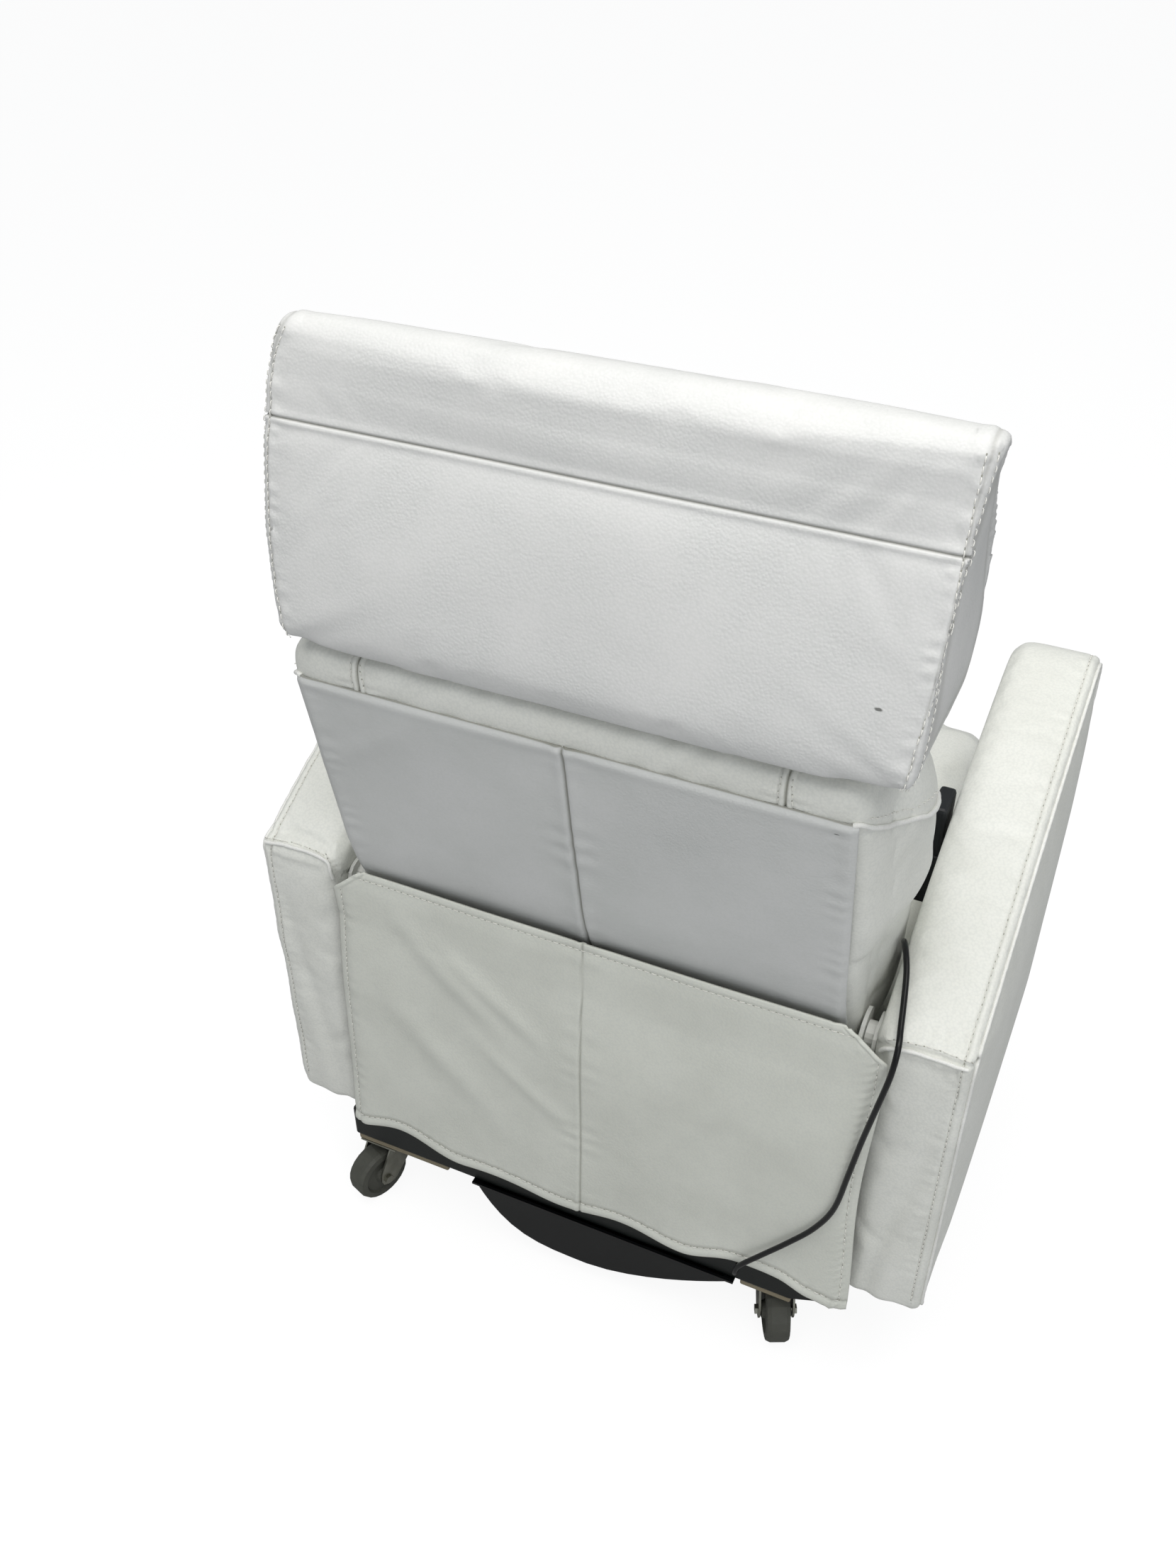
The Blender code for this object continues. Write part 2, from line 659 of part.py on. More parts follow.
def seat_cushion():
    """Long seat cushion with a waterfall front that rounds back at its corners in plan."""
    def section(x):
        across = abs(x) / SEAT_HALF
        crown = 0.008 * (1 - across ** 2)
        front = SEAT_FRONT - 0.040 * across ** 4
        return [
            (SEAT_REAR, SEAT_UNDER, 0.018), (SEAT_REAR, SEAT_TOP - 0.022 + crown * 0.3, 0.030),
            (0.40, SEAT_TOP - 0.016 + crown, 0.30), (0.60, SEAT_TOP - 0.002 + crown, 0.25),
            (front, SEAT_TOP - 0.004 + crown * 0.5, 0.055), (front - 0.010, SEAT_UNDER, 0.030)]
    padded("seat_cushion", section, -SEAT_HALF, SEAT_HALF, white_leather(), (0.030, 0.030),
           (0.006, 0.006), middle=8)


def seat_box():
    """Plywood sides, front and deck under the cushion."""
    low, high = CROSS_TOP + TOUCH, 0.3688
    for name, side in (("seat_side_right", -1), ("seat_side_left", 1)):
        edges = sorted((side * 0.260, side * 0.275))
        block(name, edges, (0.120, 0.676), (low, high), plywood())
    block("seat_front_board", (-0.2596, 0.2596), (0.661, 0.676), (low, high), plywood())
    block("seat_deck", (-0.280, 0.280), (0.185, 0.690), (high + TOUCH, SEAT_UNDER - TOUCH - 0.0003),
          plywood())


def seat_apron():
    """Padded leather apron wrapped round the front of the seat box, returning to the arms."""
    outer, inner = 0.2955, 0.2835
    front, back = 0.716, 0.474
    turn = 0.060
    outline = []
    for half, depth, radius, way in ((outer, front, turn, 1), (inner, front - 0.012, turn - 0.012, -1)):
        path = [(-half, back)]
        for side, start in ((-1, 180), (1, 90)):
            for k in range(7):
                a = math.radians(start - 90 * k / 6)
                path.append((side * (half - radius) + radius * math.cos(a),
                             depth - radius + radius * math.sin(a)))
        path.append((half, back))
        outline += path[::way]
    slab("seat_apron", outline, 0.176, SEAT_UNDER - TOUCH - 0.0165, white_leather(), bevel=0.002)


# ---------------------------------------------------------------- base


def plinth():
    """Painted boards of the plinth, the casters' bearing strips and the steel rails on top."""
    depth = PLINTH_DEPTH
    across, limits = (-PLINTH_RIGHT, PLINTH_LEFT), (PLINTH_LOW, PLINTH_HIGH)
    rear = block("plinth_rear", across, (0.0, BOARD), limits, black_paint(), 0.003, 2)
    corner = [(-PLINTH_RIGHT - 0.01, PLINTH_LOW - 0.01), (-PLINTH_RIGHT - 0.01, PLINTH_LOW + 0.024),
              (-PLINTH_RIGHT + 0.062, PLINTH_LOW - 0.01)]
    cut = rear_plate("cut", corner, -0.01, BOARD + 0.01, black_paint())
    combine(rear, [cut], "DIFFERENCE")
    block("plinth_front", across, (depth - BOARD, depth), limits, black_paint(), 0.003, 2)
    for name, side, half in (("plinth_right", -1, PLINTH_RIGHT), ("plinth_left", 1, PLINTH_LEFT)):
        edges = sorted((side * (half - BOARD), side * half))
        block(name, edges, (BOARD + TOUCH, depth - BOARD - TOUCH), limits, black_paint(), 0.002)
    for name, side, half in (("caster_board_right", -1, 0.263),
                             ("caster_board_left", 1, PLINTH_LEFT - 0.003)):
        high = PLINTH_LOW - TOUCH
        block(name, sorted((side * 0.200, side * half)), (0.002, depth - 0.002), (high - STRIP, high),
              plywood())


def rails():
    """Steel box rails: two run fore and aft on the plinth, three cross above them to the arms."""
    low = PLINTH_HIGH + TOUCH
    for name, side in (("rail_right", -1), ("rail_left", 1)):
        edges = sorted((side * 0.253, side * 0.283))
        block(name, edges, (0.006, PLINTH_DEPTH - 0.004), (low, RAIL_TOP), dark_steel(), 0.002)
    reach = ARM_INNER - TOUCH
    for name, depth in (("cross_rail_rear", 0.004), ("cross_rail_middle", 0.130),
                        ("cross_rail_front", FRONT_RAIL)):
        block(name, (-reach, reach), (depth, depth + 0.030), (RAIL_TOP + TOUCH, CROSS_TOP),
              dark_steel(), 0.002)


def pan_profile(deep, inset):
    """Points (x, drop) of the pan's underside: steep on the chair's left, gentle on its right."""
    steps = 10
    right, left = [], []
    for k in range(steps + 1):
        part = math.sin(math.pi / 2 * k / steps)
        right.append((-(PAN_RIGHT - inset) * part, deep * (1 - part ** 1.57)))
        left.append(((PAN_LEFT - inset) * part, deep * (1 - part ** 3.7)))
    return right[::-1] + left[1:]


def pan_body(name, inset, rise, flange, material):
    """Loft of the profile over the pan's length, drawn in by inset and closed by a flat top.

    The top stands above the rim's underside by rise and runs past the sides by flange.
    """
    rim = PLINTH_LOW - TOUCH - PAN_WALL
    stations = [(-0.006 + inset, 1.0), (0.03, 1.0), (0.10, 1.0), (0.20, 0.985), (0.29, 0.93),
                (0.35, 0.80), (0.388 - inset, 0.56)]
    bm = bmesh.new()
    rings = []
    for depth, swell in stations:
        under = pan_profile(PAN_DEEP * swell - inset, inset)
        outline = [(x, rim - drop) for x, drop in under]
        first, last = under[0][0] - flange, under[-1][0] + flange
        if flange:
            outline = [(first, rim)] + outline + [(last, rim)]
        outline += [(last, rim + rise), (first, rim + rise)]
        rings.append([bm.verts.new((x, y_at(depth), z)) for x, z in outline])
    skin(bm, rings)
    bm.faces.new(rings[0])
    bm.faces.new(rings[-1])
    return make(name, bm, material)


def belly_pan():
    """Glossy moulded pan, open on top, hung by its side flanges under the plinth."""
    material = black_fibreglass()
    pan = pan_body("belly_pan", 0.0, PAN_WALL, 0.010, material)
    hollow = pan_body("hollow", PAN_WALL, 0.02, 0.0, material)
    combine(pan, [hollow], "DIFFERENCE")


# ---------------------------------------------------------------- rear flap


HEM = [(-0.3330, 0.158), (-0.2925, 0.170), (-0.2505, 0.180), (-0.2005, 0.177), (-0.1325, 0.162),
       (-0.0455, 0.168), (0.0165, 0.165), (0.0845, 0.164), (0.1545, 0.169), (0.2465, 0.185),
       (0.3195, 0.171)]


def hem_height(x):
    """Height of the loose hem, eased between its high and low places."""
    x = min(max(x, HEM[0][0]), HEM[-1][0])
    for (x0, z0), (x1, z1) in zip(HEM, HEM[1:]):
        if x <= x1:
            t = (x - x0) / (x1 - x0)
            return z0 + (z1 - z0) * t * t * (3 - 2 * t)
    return HEM[-1][1]


def flap_folds(x, z):
    """How far the flap's leather stands rearwards of its flat face."""
    out = 0.0
    for x0, z0, slope, width, height in ((0.2425, 0.560, 0.85, 0.020, 0.0040),
                                         (0.1925, 0.545, 0.75, 0.016, 0.0032),
                                         (0.2575, 0.430, 0.95, 0.024, 0.0034),
                                         (-0.2075, 0.520, -1.9, 0.020, 0.0022)):
        run = (x0 - x) if slope > 0 else (x - x0)
        along = run / 0.16
        if 0 < along < 1:
            off = (z - (z0 - abs(slope) * run)) / math.hypot(1, slope)
            out += height * math.sin(math.pi * along) * math.exp(-(off / width) ** 2)
    loose = max(0.0, 1 - (z - 0.16) / 0.16)
    out += 0.0030 * loose ** 2 * (1 + math.sin(2 * math.pi * (x / 0.155 + 0.1)))
    return out


def rear_flap():
    """Leather flap over the opening behind the seat: clipped top corners, loose wavy hem.

    Its side edges hug the arms; its top stands clear of the back, which leans over it.
    """
    thick, flat = 0.0034, -0.0172
    top, rows, columns = 0.6000, 18, 24
    bm = bmesh.new()
    front, rear = [], []
    for i in range(rows + 1):
        v = i / rows
        row_front, row_rear = [], []
        clip = max(0.0, (v - 0.925) / 0.075)
        free = min(1.0, max(0.0, (v - 0.82) / 0.12))
        left = 0.3195 - 0.014 * v - 0.034 * clip
        right = -(0.3320 - 0.002 * v - 0.041 * clip)
        for j in range(columns + 1):
            x = right + (left - right) * j / columns
            z = hem_height(x) * (1 - v) + top * v
            edge = min(x - right, left - x)
            hug = 0.0085 * (1 - free) * math.exp(-(edge / 0.012) ** 2)
            lip = 0.0016 * clip
            depth = flat + hug - 0.0040 * free
            row_front.append(bm.verts.new((x, y_at(depth - flap_folds(x, z) * 0.5), z)))
            row_rear.append(bm.verts.new((x, y_at(depth - thick - lip - flap_folds(x, z)), z)))
        front.append(row_front)
        rear.append(row_rear)
    close_sheet(bm, front, rear)
    make("rear_flap", bm, white_leather(), sharp=60)
    block("flap_batten", (-0.2885, 0.2795), (-0.0166, 0.0036), (0.204, 0.228), plywood())


# ---------------------------------------------------------------- casters


def caster(place):
    """Plate, swivelling fork and wheel of one caster, turned about its swivel axis."""
    x, depth = CASTER_PLACES[place]
    turn = Matrix.Translation((x, y_at(depth), 0)) @ Matrix.Rotation(
        math.radians(CASTER_TURNS[place]), 4, "Z") @ Matrix.Translation((0, -REAR_Y, 0))
    axle = -TRAIL

    low, high = CASTER_TOP - 0.0030, CASTER_TOP
    top = block(f"caster_plate_{place}", (x - 0.026, x + 0.026), (depth - 0.032, depth + 0.032),
                (low, high), zinc_steel(), bevel=0)
    race = rod("race", (x, y_at(depth), low - 0.0078), (x, y_at(depth), high - 0.0018), 0.0170,
               zinc_steel(), end_radius=0.0235)
    bolts = []
    for dx, dd in ((-0.019, -0.025), (0.019, -0.025), (-0.019, 0.025), (0.019, 0.025)):
        bolts.append(rod("bolt", (x + dx, y_at(depth + dd), low - 0.0033),
                         (x + dx, y_at(depth + dd), high - 0.0018), 0.0055, zinc_steel(), sides=6))
    combine(top, [race] + bolts)

    crown = low - 0.0082
    fork = rod(f"caster_fork_{place}", (0, REAR_Y, crown - 0.0054), (0, REAR_Y, crown), 0.0235,
               zinc_steel(), sides=20)
    legs = []
    outline = rounded([(-0.019, crown - 0.0016, 0.003), (0.019, crown - 0.0016, 0.003),
                       (0.016, 0.066, 0.012), (axle + 0.0115, WHEEL_RADIUS - 0.0115, 0.0110),
                       (axle - 0.0115, WHEEL_RADIUS - 0.0115, 0.0110), (axle - 0.009, 0.052, 0.02)],
                      steps=2)
    for x0 in (-0.0222, 0.0197):
        legs.append(plate("leg", outline, x0, x0 + 0.0025, zinc_steel()))
    kingpin = rod("kingpin", (0, REAR_Y, crown - 0.0101), (0, REAR_Y, crown - 0.0046), 0.0080,
                  zinc_steel(), sides=6)
    bolt = cross_bar("bolt", -0.0240, 0.0240, axle, WHEEL_RADIUS, 0.0040, zinc_steel(), sides=12)
    heads = [cross_bar("head", x0, x0 + 0.0040, axle, WHEEL_RADIUS, 0.0066, zinc_steel(), sides=6)
             for x0 in (-0.0258, 0.0218)]
    combine(fork, legs + [kingpin, bolt] + heads)

    wheel = caster_wheel(f"caster_wheel_{place}", axle)
    fork.data.transform(Matrix.Translation((0, -REAR_Y, 0)))
    fork.matrix_world = turn @ Matrix.Translation((0, REAR_Y, 0))
    wheel.matrix_world = turn @ Matrix.Translation((0, REAR_Y + TRAIL, WHEEL_RADIUS))


def caster_wheel(name, axle):
    """Turned wheel: crowned tread, a step down to the web and a hub boss on each side, bored."""
    half = WHEEL_WIDTH / 2
    tread = [(half - 0.006, WHEEL_RADIUS), (half - 0.0012, WHEEL_RADIUS - 0.0022),
             (half, 0.0290), (half - 0.0035, 0.0265), (half - 0.0035, 0.0125), (0.0182, 0.0100),
             (0.0182, 0.0042)]
    profile = [(-x, r) for x, r in tread[::-1]] + tread
    sides = 24
    bm = bmesh.new()
    rings = []
    for k in range(sides):
        a = 2 * math.pi * k / sides
        rings.append([bm.verts.new((x, r * math.cos(a), r * math.sin(a))) for x, r in profile])
    skin(bm, rings + rings[:1])
    return make(name, bm, grey_tyre())


def casters():
    for place in CASTER_PLACES:
        caster(place)


# ---------------------------------------------------------------- handset and lead


GLAND = (-0.200, 0.052, 0.186)          # x, depth and height of the gland's root
RELIEF = (-0.2981, 0.2745, 0.5575)      # foot of the handset

# The lead from the control box: under the hem, up the flap and the right arm's inner shoulder,
# down into the gap beside the back and up into the handset.
ROUTE = [(-0.200, 0.0335, 0.186), (-0.200, 0.018, 0.1835), (-0.200, 0.002, 0.1735),
         (-0.200, -0.010, 0.1625), (-0.200, -0.0215, 0.1605), (-0.2015, -0.0300, 0.1705),
         (-0.2065, -0.0310, 0.188), (-0.2295, -0.0300, 0.220), (-0.2585, -0.0290, 0.260),
         (-0.2845, -0.0280, 0.300), (-0.3025, -0.0270, 0.344), (-0.3115, -0.0260, 0.404),
         (-0.3190, -0.0250, 0.460), (-0.3285, -0.0245, 0.520), (-0.3355, -0.0200, 0.565),
         (-0.3365, -0.0095, 0.5935), (-0.3325, 0.0110, 0.6015), (-0.3275, 0.0360, 0.6120),
         (-0.3210, 0.0640, 0.6240), (-0.3130, 0.0880, 0.6303), (-0.3074, 0.1060, 0.6240),
         (-0.3056, 0.1240, 0.6030), (-0.3055, 0.1450, 0.5710), (-0.3055, 0.1730, 0.5350),
         (-0.3055, 0.2050, 0.5080), (-0.3042, 0.2350, 0.4990), (-0.3010, 0.2590, 0.5050),
         (-0.2981, 0.2725, 0.5200), (-0.2981, 0.2745, 0.5390)]


def smooth_route(points, spacing):
    """Points at even spacing along a Catmull-Rom curve through the route."""
    ends = [2 * points[0] - points[1]] + points + [2 * points[-1] - points[-2]]
    fine = []
    for a, b, c, d in zip(ends, ends[1:], ends[2:], ends[3:]):
        for k in range(24):
            t = k / 24
            fine.append(0.5 * (2 * b + (c - a) * t + (2 * a - 5 * b + 4 * c - d) * t ** 2
                               + (3 * b - a - 3 * c + d) * t ** 3))
    fine.append(points[-1])
    lengths = [0.0]
    for one, two in zip(fine, fine[1:]):
        lengths.append(lengths[-1] + (two - one).length)
    count = round(lengths[-1] / spacing)
    picked, k = [], 0
    for i in range(count + 1):
        goal = lengths[-1] * i / count
        while k < len(fine) - 2 and lengths[k + 1] < goal:
            k += 1
        t = (goal - lengths[k]) / (lengths[k + 1] - lengths[k])
        picked.append(fine[k].lerp(fine[k + 1], min(1.0, t)))
    return picked, lengths[-1]


def handset_lead():
    route = [Vector((x, y_at(d), z)) for x, d, z in ROUTE]
    points, length = smooth_route(route, 0.0145)
    curve = bpy.data.curves.new("handset_lead", "CURVE")
    curve.dimensions = "3D"
    curve.bevel_depth = LEAD_RADIUS
    curve.bevel_resolution = 2
    curve.use_fill_caps = True
    spline = curve.splines.new("POLY")
    spline.points.add(len(points) - 1)
    for spot, place in zip(spline.points, points):
        spot.co = (*place, 1)
    curve.materials.append(black_plastic())
    obj = bpy.data.objects.new("handset_lead", curve)
    bpy.context.scene.collection.objects.link(obj)
    print(f"handset lead {length:.3f} m in {len(points)} points")


def control_box():
    block("control_box", (-0.2526, -0.150), (GLAND[1], 0.122), (0.1662, RAIL_TOP + 0.0), black_plastic(),
          0.003, 2)
    x, depth, height = GLAND
    tail = ROUTE[0][1] + 0.0009
    gland = rod("lead_gland", (x, y_at(depth - TOUCH), height), (x, y_at(tail), height), 0.0075,
                black_plastic(), sides=16, end_radius=0.0045)
    return gland


def handset():
    """Hand control in a moulded holster on the right arm's inner face, lead at its foot."""
    x = HANDSET_X
    depth = RELIEF[1]
    foot = RELIEF[2]
    face = x + 0.009
    body = block("handset_body", (x - 0.009, face), (depth - 0.023, depth + 0.023), (foot, foot + 0.128),
                 black_plastic(), 0.004, 2)
    pits = []
    buttons = []
    for name, height in (("handset_button_up", foot + 0.108), ("handset_button_down", foot + 0.086)):
        pits.append(cross_bar("pit", face - 0.0045, face + 0.01, depth, height, 0.0068, black_plastic()))
        buttons.append((name, height))
    combine(body, pits, "DIFFERENCE")
    for name, height in buttons:
        button = cross_bar(name, face - 0.0028, face + 0.0016, depth, height, 0.0062,
                           finish("grey_button", "#8d9296", 0.5), bevel=0.0008)
        hang_on(button, depth, height, face)
    rod("handset_relief", (x, y_at(depth), foot - TOUCH), (x, y_at(depth), ROUTE[-1][2] + 0.0011), 0.0060,
        black_plastic(), sides=16, end_radius=0.0042)
    wall = -(ARM_INNER - TOUCH)
    gap = 0.0006
    shell = block("handset_holster", (wall, face + gap + 0.0022),
                  (depth - 0.023 - gap - 0.002, depth + 0.023 + gap + 0.002), (foot - 0.003, foot + 0.066),
                  black_plastic(), 0.0015)
    pocket = block("pocket", (x - 0.009 - gap, face + gap), (depth - 0.023 - gap, depth + 0.023 + gap),
                   (foot - gap, foot + 0.10), black_plastic(), 0)
    window = block("window", (x - 0.0065, face + 0.02), (depth - 0.013, depth + 0.013),
                   (foot - 0.03, foot + 0.10), black_plastic(), 0)
    combine(shell, [pocket, window], "DIFFERENCE")


def main():
    clear_scene()
    arms()
    back_shell()
    back_cushion()
    upper_cover()
    back_side_plates()
    crank_tube()
    headrest_straps()
    headrest()
    recline_brackets()
    actuator()
    actuator_clevis()
    seat_cushion()
    seat_box()
    seat_apron()
    plinth()
    rails()
    belly_pan()
    rear_flap()
    casters()
    control_box()
    handset()
    handset_lead()


main()
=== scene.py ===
"""An upholstered pedicure chair seen from behind: white pebbled leather over a reclining back,
a tilting headrest and two arms, on a black plinth with swivel casters and a wired hand control."""
import math

import bmesh
import bpy
import numpy as np
from mathutils import Matrix, Vector
from mathutils.bvhtree import BVHTree


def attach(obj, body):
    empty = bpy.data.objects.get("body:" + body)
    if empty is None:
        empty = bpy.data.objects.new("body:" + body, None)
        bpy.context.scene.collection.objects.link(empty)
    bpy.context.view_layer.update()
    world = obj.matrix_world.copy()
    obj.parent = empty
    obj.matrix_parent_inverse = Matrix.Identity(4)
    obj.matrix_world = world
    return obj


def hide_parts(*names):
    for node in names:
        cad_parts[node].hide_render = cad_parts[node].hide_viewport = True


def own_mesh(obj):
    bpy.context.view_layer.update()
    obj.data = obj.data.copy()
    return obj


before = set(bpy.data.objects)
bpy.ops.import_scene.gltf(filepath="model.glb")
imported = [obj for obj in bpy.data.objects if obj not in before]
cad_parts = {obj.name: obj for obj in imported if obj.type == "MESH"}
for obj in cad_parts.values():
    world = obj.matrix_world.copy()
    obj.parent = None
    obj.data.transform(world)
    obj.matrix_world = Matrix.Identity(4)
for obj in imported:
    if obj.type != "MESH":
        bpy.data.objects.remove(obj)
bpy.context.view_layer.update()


# ------------------------------------------------------------------ camera
# The photograph is taken from behind and above, over the chair's right shoulder.
# Depths are counted forwards from the plane of the arms' rear faces, as in the CAD source.

REAR = 0.336


def at_depth(depth):
    return REAR - depth


yaw, pitch, roll = -0.433238, 0.662097, 0.005126
forward = Vector((math.sin(yaw) * math.cos(pitch), math.cos(yaw) * math.cos(pitch), -math.sin(pitch)))
level = Vector((math.cos(yaw), -math.sin(yaw), 0))
down = forward.cross(level)
right = level * math.cos(roll) + down * math.sin(roll)
down = down * math.cos(roll) - level * math.sin(roll)
turned = [Vector((-v.x, -v.y, v.z)) for v in (right, -down, -forward)]
lens = bpy.data.cameras.new("photo_lens")
lens.sensor_fit = "VERTICAL"
lens.sensor_height = 36
lens.lens = 36 * 2099.85 / 2212
camera = bpy.data.objects.new("photo_camera", lens)
camera.matrix_world = (Matrix.Translation((-0.4755, at_depth(-1.021408), 1.681832))
                       @ Matrix(turned).transposed().to_4x4())
bpy.context.scene.collection.objects.link(camera)
bpy.context.scene.camera = camera


# ------------------------------------------------------------------ studio
# A white paper floor that shows brighter than the light it throws back, a big soft lamp
# overhead and a weaker one from behind the camera.


def tint(code):
    """Linear colour of an sRGB hex value."""
    parts = [int(code[i:i + 2], 16) / 255 for i in (1, 3, 5)]
    return [c / 12.92 if c <= 0.04045 else ((c + 0.055) / 1.055) ** 2.4 for c in parts] + [1.0]


def add(tree, kind, sockets=None, **settings):
    """A node with its settings, and its sockets set or linked by name or place."""
    node = tree.nodes.new(kind)
    for key, value in settings.items():
        setattr(node, key, value)
    for key, value in (sockets or {}).items():
        socket = node.inputs[key]
        if isinstance(value, bpy.types.NodeSocket):
            tree.links.new(value, socket)
        else:
            socket.default_value = value
    return node


def new_material(name):
    made = bpy.data.materials.new(name)
    made.use_nodes = True
    made.node_tree.nodes.clear()
    return made, made.node_tree


bpy.ops.mesh.primitive_plane_add(size=60, location=(0, 0, 0))
floor = bpy.context.object
floor.name = "floor"
paper, tree = new_material("white_paper_floor")
path = add(tree, "ShaderNodeLightPath")
tone = add(tree, "ShaderNodeMix", {0: path.outputs["Is Camera Ray"], 6: tint("#bebebe"), 7: tint("#dcdcdc")},
           data_type="RGBA")
diffuse = add(tree, "ShaderNodeBsdfDiffuse", {"Color": tone.outputs[2]})
plain = add(tree, "ShaderNodeEmission", {"Color": (1, 1, 1, 1), "Strength": 1.14})
seen = add(tree, "ShaderNodeMath", {0: path.outputs["Is Camera Ray"], 1: 0.80}, operation="MULTIPLY")
mixed = add(tree, "ShaderNodeMixShader", {0: seen.outputs[0], 1: diffuse.outputs[0], 2: plain.outputs[0]})
add(tree, "ShaderNodeOutputMaterial", {"Surface": mixed.outputs[0]})
floor.data.materials.append(paper)

world = bpy.data.worlds.new("studio")
bpy.context.scene.world = world
world.use_nodes = True
world.node_tree.nodes.clear()
tree = world.node_tree
path = add(tree, "ShaderNodeLightPath")
around = add(tree, "ShaderNodeBackground", {"Color": tint("#eef2f6"), "Strength": 0.42})
white = add(tree, "ShaderNodeBackground", {"Color": (1, 1, 1, 1), "Strength": 1.0})
mixed = add(tree, "ShaderNodeMixShader", {0: path.outputs["Is Camera Ray"], 1: around.outputs[0],
                                          2: white.outputs[0]})
add(tree, "ShaderNodeOutputWorld", {"Surface": mixed.outputs[0]})


def soft_lamp(name, place, aim, size, power, code):
    data = bpy.data.lights.new(name, "AREA")
    data.shape = "SQUARE"
    data.size = size
    data.energy = power
    data.color = tint(code)[:3]
    lamp = bpy.data.objects.new(name, data)
    lamp.location = place
    lamp.rotation_euler = (Vector(aim) - Vector(place)).to_track_quat("-Z", "Y").to_euler()
    bpy.context.scene.collection.objects.link(lamp)


soft_lamp("overhead", (-0.15, 0.75, 3.4), (0, 0.1, 0.6), 2.8, 80, "#fffdf9")
soft_lamp("fill", (-2.1, 2.9, 1.8), (0, 0.2, 0.6), 2.2, 23, "#f8f9fb")

bpy.context.scene.view_settings.view_transform = "Standard"


# ------------------------------------------------------------------ lead of the hand control
# A black PVC cable 6.4 mm thick, drawn smooth with a faint sheen. It leaves the gland of the
# control box, comes out under the loose hem, lies up the flap and over the arm's inner
# shoulder, and hangs in a loop beside the back up to the strain relief of the handset.


def finish_shader(tree, colour, roughness, height=None, depth_mm=0.1, strength=0.5, **values):
    """Principled surface from a colour, a roughness and a height in the texture's own units."""
    sockets = {"Base Color": colour, "Roughness": roughness}
    if height is not None:
        sockets["Normal"] = add(tree, "ShaderNodeBump", {
            "Height": height, "Strength": strength, "Distance": depth_mm / 1000}).outputs[0]
    shader = add(tree, "ShaderNodeBsdfPrincipled", {**sockets, **values})
    add(tree, "ShaderNodeOutputMaterial", {"Surface": shader.outputs[0]})


def shades(tree, factor, low, high):
    """Colour between two hex values by a factor."""
    return add(tree, "ShaderNodeMix", {0: factor, 6: tint(low), 7: tint(high)},
               data_type="RGBA").outputs[2]


def moulded_plastic(name, low, high, roughness, grain_mm, depth_mm):
    """Injection moulded plastic: even colour, fine spark-eroded grain, a soft sheen."""
    made, tree = new_material(name)
    coords = add(tree, "ShaderNodeTexCoord").outputs["Object"]
    grain = add(tree, "ShaderNodeTexNoise", {"Vector": coords, "Scale": 1000 / grain_mm, "Detail": 2.0})
    cloud = add(tree, "ShaderNodeTexNoise", {"Vector": coords, "Scale": 28.0, "Detail": 3.0})
    gloss = add(tree, "ShaderNodeMapRange", {"Value": cloud.outputs[0], 3: roughness - 0.06,
                                             4: roughness + 0.08})
    finish_shader(tree, shades(tree, cloud.outputs[0], low, high), gloss.outputs[0], grain.outputs[0],
                  depth_mm, IOR=1.40)
    return made


pvc = moulded_plastic("drawn_pvc_sheath", "#060708", "#0f1113", 0.30, 3.0, 0.05)
abs_black = moulded_plastic("moulded_black_abs", "#131517", "#202326", 0.42, 0.9, 0.06)

route = [(-0.200, 0.0335, 0.186), (-0.200, 0.018, 0.1835), (-0.200, 0.002, 0.1735),
         (-0.200, -0.010, 0.1625), (-0.200, -0.0215, 0.1605), (-0.2015, -0.0300, 0.1705),
         (-0.2065, -0.0310, 0.188), (-0.2295, -0.0300, 0.220), (-0.2585, -0.0290, 0.260),
         (-0.2845, -0.0280, 0.300), (-0.3025, -0.0270, 0.344), (-0.3115, -0.0260, 0.404),
         (-0.3190, -0.0250, 0.460), (-0.3285, -0.0245, 0.520), (-0.3355, -0.0200, 0.565),
         (-0.3365, -0.0095, 0.5935), (-0.3325, 0.0110, 0.6015), (-0.3275, 0.0360, 0.6120),
         (-0.3210, 0.0640, 0.6240), (-0.3130, 0.0880, 0.6303), (-0.3074, 0.1060, 0.6240),
         (-0.3056, 0.1240, 0.6030), (-0.3055, 0.1450, 0.5710), (-0.3055, 0.1730, 0.5350),
         (-0.3055, 0.2050, 0.5080), (-0.3042, 0.2350, 0.4990), (-0.3010, 0.2590, 0.5050),
         (-0.2981, 0.2725, 0.5200), (-0.2981, 0.2745, 0.5390)]
knots = [Vector((x, at_depth(d), z)) for x, d, z in route]
ends = [2 * knots[0] - knots[1]] + knots + [2 * knots[-1] - knots[-2]]
fine = []
for a, b, c, d in zip(ends, ends[1:], ends[2:], ends[3:]):
    for k in range(8):
        t = k / 8
        fine.append(0.5 * (2 * b + (c - a) * t + (2 * a - 5 * b + 4 * c - d) * t ** 2
                           + (3 * b - a - 3 * c + d) * t ** 3))
fine.append(knots[-1])
line = bpy.data.curves.new("handset_lead_cable", "CURVE")
line.dimensions = "3D"
line.bevel_depth = 0.0032
line.bevel_resolution = 4
line.use_fill_caps = True
spline = line.splines.new("POLY")
spline.points.add(len(fine) - 1)
for spot, place in zip(spline.points, fine):
    spot.co = (*place, 1)
line.materials.append(pvc)
lead = bpy.data.objects.new("handset_lead_cable", line)
bpy.context.scene.collection.objects.link(lead)
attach(lead, "base")
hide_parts("handset_lead")


# ------------------------------------------------------------------ hand control
# A generic two-button wired remote of moulded ABS, clipped in a holster on the right arm's
# inner face, with a moulded strain relief, two grey keys, and its control box in the base.


